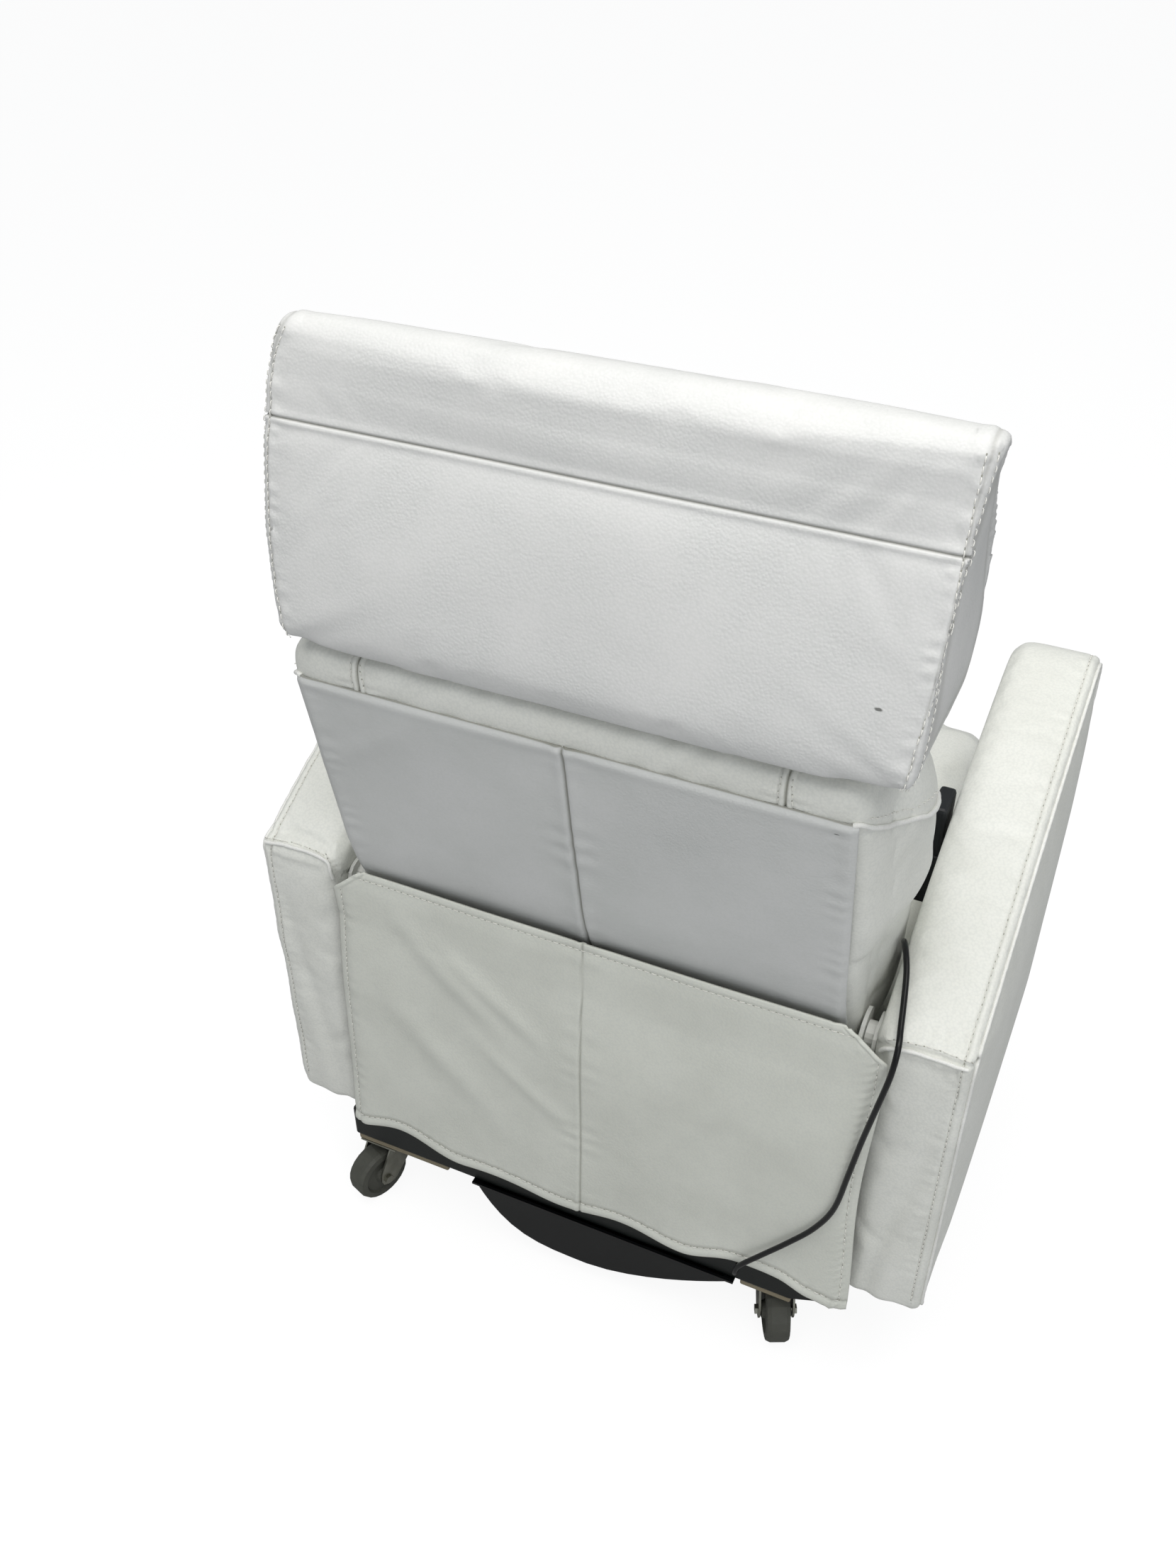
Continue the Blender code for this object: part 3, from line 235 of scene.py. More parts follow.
def repaint(material, *nodes):
    """Gives carried-over solids their finished material."""
    for node in nodes:
        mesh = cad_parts[node].data
        mesh.materials.clear()
        mesh.materials.append(material)


key_grey = moulded_plastic("moulded_grey_keys", "#8f9396", "#a9adb0", 0.38, 0.7, 0.04)
repaint(abs_black, "lead_gland", "handset_relief", "control_box", "handset_holster", "handset_body")
repaint(key_grey, "handset_button_up", "handset_button_down")


# ------------------------------------------------------------------ plinth and seat box
# Plywood boards 18 mm thick. Those of the plinth are rolled with satin black paint, rubbed
# through here and there; the bearing strips, seat box and batten are left bare.


def rolled_paint(name, low, high, worn):
    """Satin paint rolled on plywood: a faint stipple, uneven gloss, rubbed through here and there."""
    made, tree = new_material(name)
    coords = add(tree, "ShaderNodeTexCoord").outputs["Object"]
    stipple = add(tree, "ShaderNodeTexNoise", {"Vector": coords, "Scale": 420.0, "Detail": 3.0})
    cloud = add(tree, "ShaderNodeTexNoise", {"Vector": coords, "Scale": 17.0, "Detail": 5.0})
    long_way = add(tree, "ShaderNodeMapping", {"Vector": coords, "Scale": (9.0, 9.0, 130.0)})
    drag = add(tree, "ShaderNodeTexNoise", {"Vector": long_way.outputs[0], "Scale": 1.0, "Detail": 4.0})
    base = shades(tree, cloud.outputs[0], low, high)
    rub = add(tree, "ShaderNodeMapRange", {"Value": drag.outputs[0], 1: 0.66, 2: 0.74, 3: 0.0, 4: 0.7})
    colour = add(tree, "ShaderNodeMix", {0: rub.outputs[0], 6: base, 7: tint(worn)}, data_type="RGBA")
    gloss = add(tree, "ShaderNodeMapRange", {"Value": cloud.outputs[0], 3: 0.27, 4: 0.44})
    finish_shader(tree, colour.outputs[2], gloss.outputs[0], stipple.outputs[0], 0.25, 0.45, IOR=1.36)
    return made


def bare_plywood(name, low, high):
    """Rotary-cut birch veneer: long soft figure along the board, open pores, dull."""
    made, tree = new_material(name)
    coords = add(tree, "ShaderNodeTexCoord").outputs["Object"]
    along = add(tree, "ShaderNodeMapping", {"Vector": coords, "Scale": (3.0, 12.0, 60.0)})
    figure = add(tree, "ShaderNodeTexNoise", {"Vector": along.outputs[0], "Scale": 1.0, "Detail": 6.0,
                                              "Distortion": 0.8})
    fine_way = add(tree, "ShaderNodeMapping", {"Vector": coords, "Scale": (40.0, 160.0, 900.0)})
    pores = add(tree, "ShaderNodeTexNoise", {"Vector": fine_way.outputs[0], "Scale": 1.0, "Detail": 3.0})
    mix = add(tree, "ShaderNodeMath", {0: figure.outputs[0], 1: 0.72}, operation="MULTIPLY")
    both = add(tree, "ShaderNodeMath", {0: pores.outputs[0], 1: 0.28, 2: mix.outputs[0]},
               operation="MULTIPLY_ADD")
    level_out = add(tree, "ShaderNodeMapRange", {"Value": both.outputs[0], 1: 0.32, 2: 0.68})
    finish_shader(tree, shades(tree, level_out.outputs[0], low, high), 0.68, pores.outputs[0], 0.2)
    return made


black_paint = rolled_paint("rolled_black_paint", "#080c0b", "#101614", "#2c281f")
plywood = bare_plywood("birch_plywood", "#a08c6c", "#cbb998")
old_plywood = bare_plywood("greyed_plywood", "#6f6653", "#958b74")
repaint(black_paint, "plinth_rear", "plinth_front", "plinth_left", "plinth_right")
repaint(plywood, "seat_side_left", "seat_side_right", "seat_front_board", "seat_deck", "flap_batten")
repaint(old_plywood, "caster_board_left", "caster_board_right")


# ------------------------------------------------------------------ pan
# A moulded fibreglass tray with a black gelcoat, glossy with a faint orange peel, hung by its
# flanges under the plinth.


def gelcoat(name, low, high):
    made, tree = new_material(name)
    coords = add(tree, "ShaderNodeTexCoord").outputs["Object"]
    peel = add(tree, "ShaderNodeTexNoise", {"Vector": coords, "Scale": 160.0, "Detail": 2.0})
    dust = add(tree, "ShaderNodeTexNoise", {"Vector": coords, "Scale": 21.0, "Detail": 6.0})
    gloss = add(tree, "ShaderNodeMapRange", {"Value": dust.outputs[0], 1: 0.35, 2: 0.7, 3: 0.09, 4: 0.26})
    finish_shader(tree, shades(tree, dust.outputs[0], low, high), gloss.outputs[0], peel.outputs[0],
                  0.12, 0.5, IOR=1.36)
    return made


black_gelcoat = gelcoat("black_gelcoat", "#040506", "#0b0e0f")
repaint(black_gelcoat, "belly_pan")


# ------------------------------------------------------------------ casters
# Swivel casters pressed from zinc-plated sheet steel, with riveted races, an axle bolt with
# its nut, and solid grey rubber wheels 78 mm across.


def plated_steel(name, low, high, roughness):
    """Bright zinc plate: metallic, cloudy, with fine drawing marks from the press."""
    made, tree = new_material(name)
    coords = add(tree, "ShaderNodeTexCoord").outputs["Object"]
    cloud = add(tree, "ShaderNodeTexNoise", {"Vector": coords, "Scale": 75.0, "Detail": 5.0})
    drawn = add(tree, "ShaderNodeMapping", {"Vector": coords, "Scale": (90.0, 90.0, 1400.0)})
    marks = add(tree, "ShaderNodeTexNoise", {"Vector": drawn.outputs[0], "Scale": 1.0, "Detail": 2.0})
    gloss = add(tree, "ShaderNodeMapRange", {"Value": cloud.outputs[0], 3: roughness - 0.1,
                                             4: roughness + 0.14})
    finish_shader(tree, shades(tree, cloud.outputs[0], low, high), gloss.outputs[0], marks.outputs[0],
                  0.05, 0.4, Metallic=1.0)
    return made


def solid_rubber(name, low, high):
    """Vulcanised rubber, dull and a little dusty, with a faint mould texture."""
    made, tree = new_material(name)
    coords = add(tree, "ShaderNodeTexCoord").outputs["Object"]
    dust = add(tree, "ShaderNodeTexNoise", {"Vector": coords, "Scale": 60.0, "Detail": 6.0})
    skin = add(tree, "ShaderNodeTexNoise", {"Vector": coords, "Scale": 900.0, "Detail": 2.0})
    gloss = add(tree, "ShaderNodeMapRange", {"Value": dust.outputs[0], 3: 0.5, 4: 0.75})
    finish_shader(tree, shades(tree, dust.outputs[0], low, high), gloss.outputs[0], skin.outputs[0],
                  0.12, 0.5)
    return made


zinc = plated_steel("zinc_plate", "#7f7f74", "#b4b4aa", 0.34)
rubber = solid_rubber("grey_rubber", "#3a3b35", "#56574f")
places = ("rear_right", "rear_left", "front_right", "front_left")
repaint(zinc, *[f"caster_{part}_{place}" for part in ("plate", "fork") for place in places])
repaint(rubber, *[f"caster_wheel_{place}" for place in places])


# ------------------------------------------------------------------ steel frame and actuator
# Box rails and the crank tube in black powder coat over welded steel; recline brackets and side
# plates, which show between back and arms, in a pale one; a linear actuator with a plated rod;
# zinc-plated hinge straps for the headrest.


def powder_coat(name, low, high):
    """Fine-textured powder coat, satin, with the slight orange peel of baked powder."""
    made, tree = new_material(name)
    coords = add(tree, "ShaderNodeTexCoord").outputs["Object"]
    peel = add(tree, "ShaderNodeTexNoise", {"Vector": coords, "Scale": 650.0, "Detail": 2.0})
    cloud = add(tree, "ShaderNodeTexNoise", {"Vector": coords, "Scale": 30.0, "Detail": 4.0})
    gloss = add(tree, "ShaderNodeMapRange", {"Value": cloud.outputs[0], 3: 0.36, 4: 0.52})
    finish_shader(tree, shades(tree, cloud.outputs[0], low, high), gloss.outputs[0], peel.outputs[0],
                  0.15, 0.6)
    return made


coated = powder_coat("black_powder_coat", "#1b1d1f", "#2a2d2f")
pale_coat = powder_coat("pale_powder_coat", "#d6d7d3", "#e2e3df")
repaint(coated, "rail_left", "rail_right", "cross_rail_rear", "cross_rail_middle", "cross_rail_front",
        "crank_tube", "actuator_clevis")
repaint(pale_coat, "recline_bracket_left", "recline_bracket_right", "back_side_plate_left",
        "back_side_plate_right")
repaint(abs_black, "actuator_motor")
repaint(zinc, "actuator_rod", "headrest_strap_left", "headrest_strap_right",
        "headrest_clevis_left", "headrest_clevis_right")


# ------------------------------------------------------------------ headrest
# A foam wedge in pebbled top-grain leather. One seam runs across the rear face, and a side
# panel is sewn on at each end with a felled, twice stitched seam. It tilts on two hinges.


def leather(name, light="#eaebe5", shade="#e1e2db", pebble_mm=2.7, relief_mm=0.34, marks=()):
    """Corrected-grain upholstery leather, embossed with a soft pebble and sealed with a satin top
    coat: pale and faintly mottled, with painted shade in the hollows of its pebble and in its folds
    and seams. marks are dark spots (place, radii)."""
    made, tree = new_material(name)
    coords = add(tree, "ShaderNodeTexCoord").outputs["Object"]
    warp = add(tree, "ShaderNodeTexNoise", {"Vector": coords, "Scale": 240.0, "Detail": 2.0})
    pull = add(tree, "ShaderNodeVectorMath", {0: warp.outputs["Color"], 1: (0.0011,) * 3},
               operation="MULTIPLY")
    bent = add(tree, "ShaderNodeVectorMath", {0: coords, 1: pull.outputs[0]}, operation="ADD")
    cells = add(tree, "ShaderNodeTexVoronoi", {"Vector": bent.outputs[0], "Scale": 1000 / pebble_mm,
                                               "Smoothness": 0.45}, feature="SMOOTH_F1")
    pores = add(tree, "ShaderNodeTexNoise", {"Vector": coords, "Scale": 1500.0, "Detail": 3.0})
    patches = add(tree, "ShaderNodeTexNoise", {"Vector": coords, "Scale": 9.0, "Detail": 4.0,
                                               "Roughness": 0.6})
    dome = add(tree, "ShaderNodeMath", {0: cells.outputs["Distance"], 1: -1.0}, operation="MULTIPLY")
    height = add(tree, "ShaderNodeMath", {0: pores.outputs[0], 1: 0.22, 2: dome.outputs[0]},
                 operation="MULTIPLY_ADD")
    fade = add(tree, "ShaderNodeMapRange", {"Value": patches.outputs[0], 1: 0.35, 2: 0.65, 3: 0.30, 4: 0.95})
    bump = add(tree, "ShaderNodeBump", {"Height": height.outputs[0], "Strength": fade.outputs[0],
                                        "Distance": relief_mm / 1000})
    mottle = add(tree, "ShaderNodeMapRange", {"Value": patches.outputs[0], 1: 0.35, 2: 0.75})
    colour = shades(tree, mottle.outputs[0], light, shade)
    # Painted shade: the hollows of the pebble are greyed towards #c6c9c5.
    valley_shade = add(tree, "ShaderNodeMapRange", {"Value": cells.outputs["Distance"], 1: 0.35, 2: 0.75,
                                              3: 0.0, 4: 0.22})
    colour = add(tree, "ShaderNodeMix", {0: valley_shade.outputs[0], 6: colour, 7: tint("#c6c9c5")},
                 data_type="RGBA").outputs[2]
    # Painted shade: seams, folds and edges are darkened towards #77766a by a per-point attribute.
    painted_shade = add(tree, "ShaderNodeAttribute", attribute_name="painted_shade")
    colour = add(tree, "ShaderNodeMix", {0: painted_shade.outputs["Fac"], 6: colour, 7: tint("#77766a")},
                 data_type="RGBA").outputs[2]
    for place, radii in marks:
        off = add(tree, "ShaderNodeVectorMath", {0: bent.outputs[0], 1: place}, operation="SUBTRACT")
        scaled = add(tree, "ShaderNodeVectorMath", {0: off.outputs[0], 1: [1 / r for r in radii]},
                     operation="MULTIPLY")
        reach = add(tree, "ShaderNodeVectorMath", {0: scaled.outputs[0]}, operation="LENGTH")
        spot = add(tree, "ShaderNodeMapRange", {"Value": reach.outputs["Value"], 1: 0.6, 2: 1.0,
                                                3: 0.8, 4: 0.0})
        colour = add(tree, "ShaderNodeMix", {0: spot.outputs[0], 6: colour, 7: tint("#3d3f3b")},
                     data_type="RGBA").outputs[2]
    gloss = add(tree, "ShaderNodeMapRange", {"Value": patches.outputs[0], 3: 0.38, 4: 0.54})
    shader = add(tree, "ShaderNodeBsdfPrincipled", {
        "Base Color": colour, "Roughness": gloss.outputs[0], "IOR": 1.48, "Normal": bump.outputs[0]})
    add(tree, "ShaderNodeOutputMaterial", {"Surface": shader.outputs[0]})
    return made


white_leather = leather("pebbled_white_leather")
# The headrest's hide is a darker copy of the same white leather: painted shade for its rear face.
headrest_shaded_hide = leather("pebbled_headrest_leather_painted_shade", light="#d9d9d8", shade="#cfd0cf", marks=(
    ((-0.2815, at_depth(-0.058), 1.0125), (0.0042, 0.02, 0.0017)),))
smooth_hide = leather("smooth_leather_edging", light="#efefec", shade="#e6e6e1", pebble_mm=1.6,
                      relief_mm=0.12)


def apply_all(piece):
    bpy.ops.object.select_all(action="DESELECT")
    piece.select_set(True)
    bpy.context.view_layer.objects.active = piece
    for step in list(piece.modifiers):
        bpy.ops.object.modifier_apply(modifier=step.name)


def foam_block(name, nodes, voxel=0.008, ease=3):
    """A new piece with the solids' joint shape, remeshed into even quads and eased at its edges."""
    bm = bmesh.new()
    for node in nodes:
        bm.from_mesh(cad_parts[node].data)
    bmesh.ops.remove_doubles(bm, verts=bm.verts, dist=1e-5)
    mesh = bpy.data.meshes.new(name)
    bm.to_mesh(mesh)
    bm.free()
    piece = bpy.data.objects.new(name, mesh)
    bpy.context.scene.collection.objects.link(piece)
    step = piece.modifiers.new("even_quads", "REMESH")
    step.mode = "VOXEL"
    step.voxel_size = voxel
    step = piece.modifiers.new("ease", "SMOOTH")
    step.factor = 0.5
    step.iterations = ease
    apply_all(piece)
    return piece


def points_of(piece):
    co = np.zeros(len(piece.data.vertices) * 3, np.float32)
    piece.data.vertices.foreach_get("co", co)
    return co.reshape(-1, 3).astype(float)


def normals_of(piece):
    no = np.zeros(len(piece.data.vertices) * 3, np.float32)
    piece.data.vertices.foreach_get("normal", no)
    return no.reshape(-1, 3).astype(float)


def put_points(piece, co):
    piece.data.vertices.foreach_set("co", co.astype(np.float32).ravel())
    piece.data.update()


def upholster(piece, cap, held, draw_in=0.003, pressure=4.0, slack=0.012, sewn=True, hide=None):
    """Cloth over the foam: it swells under pressure between the seams that hold it, and no point
    moves more than cap. held gives each point's hold, from 0 to 1."""
    start = points_of(piece)
    hold = held(start)
    shrunk = start - normals_of(piece) * (draw_in * (1 - hold))[:, None]
    put_points(piece, shrunk)
    if sewn:
        group = piece.vertex_groups.new(name="sewn")
        for i in np.nonzero(hold > 0.02)[0]:
            group.add([int(i)], float(hold[i]), "REPLACE")
        cloth = piece.modifiers.new("leather_cloth", "CLOTH")
        settings = cloth.settings
        settings.quality = 4
        settings.mass = 0.4
        settings.tension_stiffness = settings.compression_stiffness = 18
        settings.shear_stiffness = 8
        settings.bending_stiffness = 1.2
        settings.use_pressure = True
        settings.uniform_pressure_force = pressure
        settings.shrink_min = -slack
        settings.effector_weights.gravity = 0
        settings.vertex_group_mass = "sewn"
        cloth.point_cache.frame_start = 1
        cloth.point_cache.frame_end = 16
        for number in range(1, 17):
            bpy.context.scene.frame_set(number)
        graph = bpy.context.evaluated_depsgraph_get()
        blown = points_of(piece.evaluated_get(graph))
        piece.modifiers.clear()
        piece.vertex_groups.clear()
        bpy.context.scene.frame_set(1)
        move = blown - shrunk
        far = np.linalg.norm(move, axis=1)
        put_points(piece, shrunk + move * (cap / (cap + far))[:, None])
    step = piece.modifiers.new("finer", "SUBSURF")
    step.levels = step.render_levels = 1
    apply_all(piece)
    piece.data.materials.clear()
    piece.data.materials.append(hide or white_leather)
    piece.data.shade_smooth()


def cut_lines(piece, point, normal, offsets, keep):
    """New edges beside a seam's plane at these distances, so that its folds are crisp."""
    point, normal = Vector(point), Vector(normal).normalized()
    reach = max(abs(offset) for offset in offsets) + 0.008
    bm = bmesh.new()
    bm.from_mesh(piece.data)
    near = [f for f in bm.faces if abs((f.calc_center_median() - point).dot(normal)) < reach
            and keep(f.calc_center_median())]
    geom = near + list({e for f in near for e in f.edges}) + list({v for f in near for v in f.verts})
    for offset in offsets:
        cut = bmesh.ops.bisect_plane(bm, geom=geom, dist=1e-5, plane_co=point + normal * offset,
                                     plane_no=normal)
        geom = cut["geom"]
    bm.to_mesh(piece.data)
    bm.free()
    piece.data.shade_smooth()


def girth(piece, point, normal):
    """The longest closed line in which a plane cuts the piece, as points in order."""
    bm = bmesh.new()
    bm.from_mesh(piece.data)
    cut = bmesh.ops.bisect_plane(bm, geom=bm.verts[:] + bm.edges[:] + bm.faces[:], plane_co=point,
                                 plane_no=normal)
    edges = {g for g in cut["geom_cut"] if isinstance(g, bmesh.types.BMEdge)}
    loops = []
    while edges:
        edge = edges.pop()
        chain = [edge.verts[0], edge.verts[1]]
        growing = True
        while growing:
            growing = False
            for other in chain[-1].link_edges:
                if other in edges:
                    edges.remove(other)
                    chain.append(other.other_vert(chain[-1]))
                    growing = True
                    break
        loops.append([v.co.copy() for v in chain])
    bm.free()
    return max(loops, key=lambda loop: sum((b - a).length for a, b in zip(loop, loop[1:])))


def longest_run(loop, wanted):
    """The longest unbroken stretch of a closed line whose points are wanted."""
    count = len(loop)
    flags = [wanted(p) for p in loop]
    if all(flags):
        return loop
    best, here = [], []
    first = flags.index(False)
    for k in range(count + 1):
        i = (first + k) % count
        if flags[i]:
            here.append(loop[i])
        else:
            best = max(best, here, key=len)
            here = []
    return best


def even(points, spacing):
    """The line again with points at even spacing."""
    co = np.array([tuple(p) for p in points])
    run = np.concatenate([[0], np.cumsum(np.linalg.norm(np.diff(co, axis=0), axis=1))])
    count = max(2, int(round(run[-1] / spacing)) + 1)
    goals = np.linspace(0, run[-1], count)
    return [Vector((np.interp(g, run, co[:, 0]), np.interp(g, run, co[:, 1]), np.interp(g, run, co[:, 2])))
            for g in goals]


def surface_of(*pieces):
    """Nearest point and outward normal on the pieces."""
    verts, faces = [], []
    for piece in pieces:
        base = len(verts)
        verts += [v.co.copy() for v in piece.data.vertices]
        faces += [[base + i for i in p.vertices] for p in piece.data.polygons]
    return BVHTree.FromPolygons(verts, faces)


def sewing_thread(name, low, high):
    """Bonded polyester thread of about 1 mm, its lay too fine to see but for a broken sheen."""
    made, tree = new_material(name)
    coords = add(tree, "ShaderNodeTexCoord").outputs["Object"]
    lay = add(tree, "ShaderNodeTexNoise", {"Vector": coords, "Scale": 900.0, "Detail": 2.0})
    finish_shader(tree, shades(tree, lay.outputs[0], low, high), 0.55, lay.outputs[0], 0.2, 0.6)
    return made


thread = sewing_thread("white_polyester_thread", "#e4e3dc", "#f4f3ee")
# The needle holes get dark discs: painted shade for the holes and the dimples round them.
hole_shade = sewing_thread("needle_hole_painted_shade", "#94948a", "#acaca1")


def topstitch(name, line, surface, body, pitch=0.0080, length=0.0056, radius=0.0005, lift=0.0003,
              wander=0.0):
    """A row of stitches on the leather: each rises out of one needle hole and dives into the next."""
    spots = even(line, pitch)
    bm = bmesh.new()
    for k in range(len(spots) - 1):
        middle = (spots[k] + spots[k + 1]) / 2
        along = (spots[k + 1] - spots[k]).normalized()
        found, normal, _, _ = surface.find_nearest(middle)
        side = normal.cross(along).normalized()
        middle = found + normal * lift + side * wander * math.sin(k * 2.4)
        rings = []
        for step, rise in ((-0.5, -0.0008), (-0.30, 0.00045), (0.30, 0.00045), (0.5, -0.0008)):
            centre = middle + along * length * step + normal * rise
            rings.append([bm.verts.new(centre + (side * math.cos(a) + normal * math.sin(a)) * radius)
                          for a in (0, math.pi / 2, math.pi, 3 * math.pi / 2)])
        for one, two in zip(rings, rings[1:]):
            for i in range(4):
                bm.faces.new((one[i], one[(i + 1) % 4], two[(i + 1) % 4], two[i]))
        bm.faces.new(rings[0][::-1])
        bm.faces.new(rings[-1])
        # A shallow pit with a dark disc of painted shade at each needle hole.
        pit = middle + along * pitch * 0.5 + normal * (0.00016 - lift)
        ring = [bm.verts.new(pit + (side * math.cos(a) * 0.0007 + along * math.sin(a) * 0.0011))
                for a in (k * math.pi / 3 for k in range(6))]
        tip = bm.verts.new(pit + normal * 0.00014)
        for i in range(6):
            face = bm.faces.new((ring[i], ring[(i + 1) % 6], tip))
            face.material_index = 1
    bmesh.ops.recalc_face_normals(bm, faces=bm.faces)
    mesh = bpy.data.meshes.new(name)
    bm.to_mesh(mesh)
    bm.free()
    mesh.materials.append(thread)
    mesh.materials.append(hole_shade)
    mesh.shade_smooth()
    row = bpy.data.objects.new(name, mesh)
    bpy.context.scene.collection.objects.link(row)
    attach(row, body)
    return row


def on_surface(line, surface, raised):
    """The line laid on the surface and raised along its normals, then smoothed."""
    points = []
    for p in even(line, 0.004):
        found, normal, _, _ = surface.find_nearest(p)
        points.append(found + normal * raised)
    for _ in range(3):
        points = ([points[0]] + [(a + 2 * b + c) / 4 for a, b, c in zip(points, points[1:], points[2:])]
                  + [points[-1]])
    return points


def welt(name, line, body, surface, radius=0.0021, sink=0.0, closed=False):
    """A leather-covered piping cord laid along a seam."""
    points = on_surface(line, surface, radius - sink)
    curve = bpy.data.curves.new(name, "CURVE")
    curve.dimensions = "3D"
    curve.bevel_depth = radius
    curve.bevel_resolution = 3
    curve.use_fill_caps = not closed
    spline = curve.splines.new("POLY")
    spline.points.add(len(points) - 1)
    spline.use_cyclic_u = closed
    for k, (spot, place) in enumerate(zip(spline.points, points)):
        spot.co = (*place, 1)
        spot.radius = 1 + 0.07 * math.sin(k * 1.9) + 0.05 * math.sin(k * 0.7)
    piping = bpy.data.objects.new(name, curve)
    bpy.context.scene.collection.objects.link(piping)
    bpy.ops.object.select_all(action="DESELECT")
    piping.select_set(True)
    bpy.context.view_layer.objects.active = piping
    bpy.ops.object.convert(target="MESH")
    piping = bpy.context.object
    piping.data.materials.clear()
    piping.data.materials.append(smooth_hide)
    piping.data.shade_smooth()
    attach(piping, body)
    return piping


def shape(piece, move, painted_shade=None):
    """Moves every point along its normal, and stores the painted shade of its seams and folds."""
    co, no = points_of(piece), normals_of(piece)
    put_points(piece, co + no * move(co, no)[:, None])
    if painted_shade is not None:
        mark = piece.data.attributes.get("painted_shade") or piece.data.attributes.new("painted_shade", "FLOAT", "POINT")
        values = np.zeros(len(co), np.float32)
        mark.data.foreach_get("value", values)
        mark.data.foreach_set("value", np.maximum(values, painted_shade(co, no)).astype(np.float32))
    piece.data.update()


def waver(t, pitch):
    """Uneven ripples along a seam, about one every pitch metres."""
    return (np.sin(2 * np.pi * t / pitch + 1.4 * np.sin(2 * np.pi * t / (pitch * 3.7)))
            * (0.6 + 0.4 * np.sin(2 * np.pi * t / (pitch * 5.3) + 1.0)))


def bell(t, width):
    return np.exp(-(t / width) ** 2)


rest_middle, rest_half = -0.0130, 0.318
foot = Vector((0, at_depth(-0.0812), 0.9225))
head = Vector((0, at_depth(0.006), 1.225))
slope = (head - foot).normalized()
rear_way = Vector((0, slope.z, -slope.y))
seam_spot = foot + (head - foot) * 0.70


def seam_run(co):
    """Signed distance up the headrest's rear face from its cross seam."""
    return (co - np.array(seam_spot)) @ np.array(slope)


def end_draw(x, z):
    """How far the ends are drawn in towards the foot, and at the left end's top corner."""
    low, high = np.clip((1.10 - z) / 0.17, 0, 1), np.clip((z - 1.175) / 0.05, 0, 1)
    return np.where(x > 0, 0.030 * low ** 1.8 + 0.020 * high ** 1.5, 0.010 * low ** 1.8)


def edge_run(co):
    """Signed distance inwards from the seam rows at the headrest's two ends."""
    return rest_half - 0.0095 - end_draw(co[:, 0], co[:, 2]) - np.abs(co[:, 0] - rest_middle)


headrest = foam_block("headrest_leather", ["headrest_cushion"], voxel=0.0066)


def headrest_hold(co):
    side = bell(edge_run(co), 0.006)
    near = bell(seam_run(co), 0.007) * (co[:, 1] > at_depth(-0.005))
    under = np.clip((0.960 - co[:, 2]) / 0.01, 0, 1) * (co[:, 1] < at_depth(0.03))
    return np.clip(np.maximum(np.maximum(side * 0.9, near), under), 0, 1)


upholster(headrest, 0.012, headrest_hold, draw_in=0.002, pressure=2.0, slack=0.001, hide=headrest_shaded_hide)

# Above the cross seam the rear leans further forward, as the photograph shows. The lean fades
# out within lean_depth of the rear face.
strip_lean, lean_depth = 0.085, 0.055
co = points_of(headrest)
inner = np.array(head) @ np.array(rear_way) - co @ np.array(rear_way)
near = np.clip(1 - np.maximum(inner, 0) / lean_depth, 0, 1)
co[:, 1] -= strip_lean * np.maximum(seam_run(co), 0) * near * near * (3 - 2 * near)
put_points(headrest, co)
cut_lines(headrest, seam_spot, slope, (-0.011, -0.0068, -0.0041, -0.0019, -0.0008, 0.0, 0.0008, 0.0018,
                                       0.0037, 0.0074), lambda p: (p - head).dot(rear_way) > -0.03)
for way in (-1, 1):
    place = (rest_middle + way * (rest_half - 0.0095), 0, 1.08)
    cut_lines(headrest, place, (way, 0, 0), (-0.012, -0.009, -0.006, -0.003, -0.0014, 0.0, 0.0014, 0.003,
                                             0.0055, 0.0075), lambda p: True)


def headrest_seams(co, no):
    rear = np.clip(no @ np.array(rear_way) * 3 - 0.9, 0, 1)
    t = seam_run(co)
    out = rear * (-0.0024 * bell(t, 0.0011) + 0.0011 * bell(t + 0.0040, 0.0026)
                  + 0.0004 * bell(t - 0.004, 0.003))
    inside = edge_run(co)
    ring = np.clip((co[:, 2] - 0.945) / 0.01, 0, 1)
    along = co[:, 2] + co[:, 1] * 0.5
    pucker = waver(along, 0.013)
    out += ring * (-0.0011 * bell(inside, 0.0016) - 0.0010 * bell(inside + 0.0088, 0.0016)
                   + 0.0012 * bell(inside + 0.0044, 0.0038) + 0.0007 * pucker * bell(inside - 0.007, 0.006))
    top = np.clip(no[:, 2] * 2 - 0.2, 0, 1) * np.clip((co[:, 2] - 1.17) / 0.02, 0, 1)
    out += top * (0.0060 - 0.008 * np.clip(co[:, 0], -0.35, 0.3))
    out -= np.clip(-no[:, 0] * 2 - 0.8, 0, 1) * 0.009 * bell(co[:, 2] - 1.09, 0.075)
    corner = (co[:, 0] < 0) * 1.0
    for x0, z0, lean, width, high_by in ((-0.235, 1.165, 0.9, 0.010, 0.0016),
                                         (-0.262, 1.150, 1.2, 0.008, 0.0013),
                                         (-0.205, 1.175, 0.6, 0.014, 0.0012)):
        off = ((co[:, 0] - x0) * lean + (co[:, 2] - z0)) / math.hypot(1, lean)
        run = (co[:, 0] - x0) - (co[:, 2] - z0) * lean
        out += corner * rear * high_by * bell(off, width) * bell(run, 0.06)
    out += rear * 0.0012 * np.sin(co[:, 0] * 17 + co[:, 2] * 8) * np.sin(co[:, 2] * 24 - co[:, 0] * 5)
    return out


# Painted shade along the cross seam and along the two seam rows at each end.
def headrest_seam_shade(co, no):
    rear = np.clip(no @ np.array(rear_way) * 3 - 0.9, 0, 1)
    inside = edge_run(co)
    return np.clip(rear * 0.65 * bell(seam_run(co), 0.0009) + 0.30 * bell(inside, 0.0010)
                   + 0.30 * bell(inside + 0.0088, 0.0010), 0, 1)


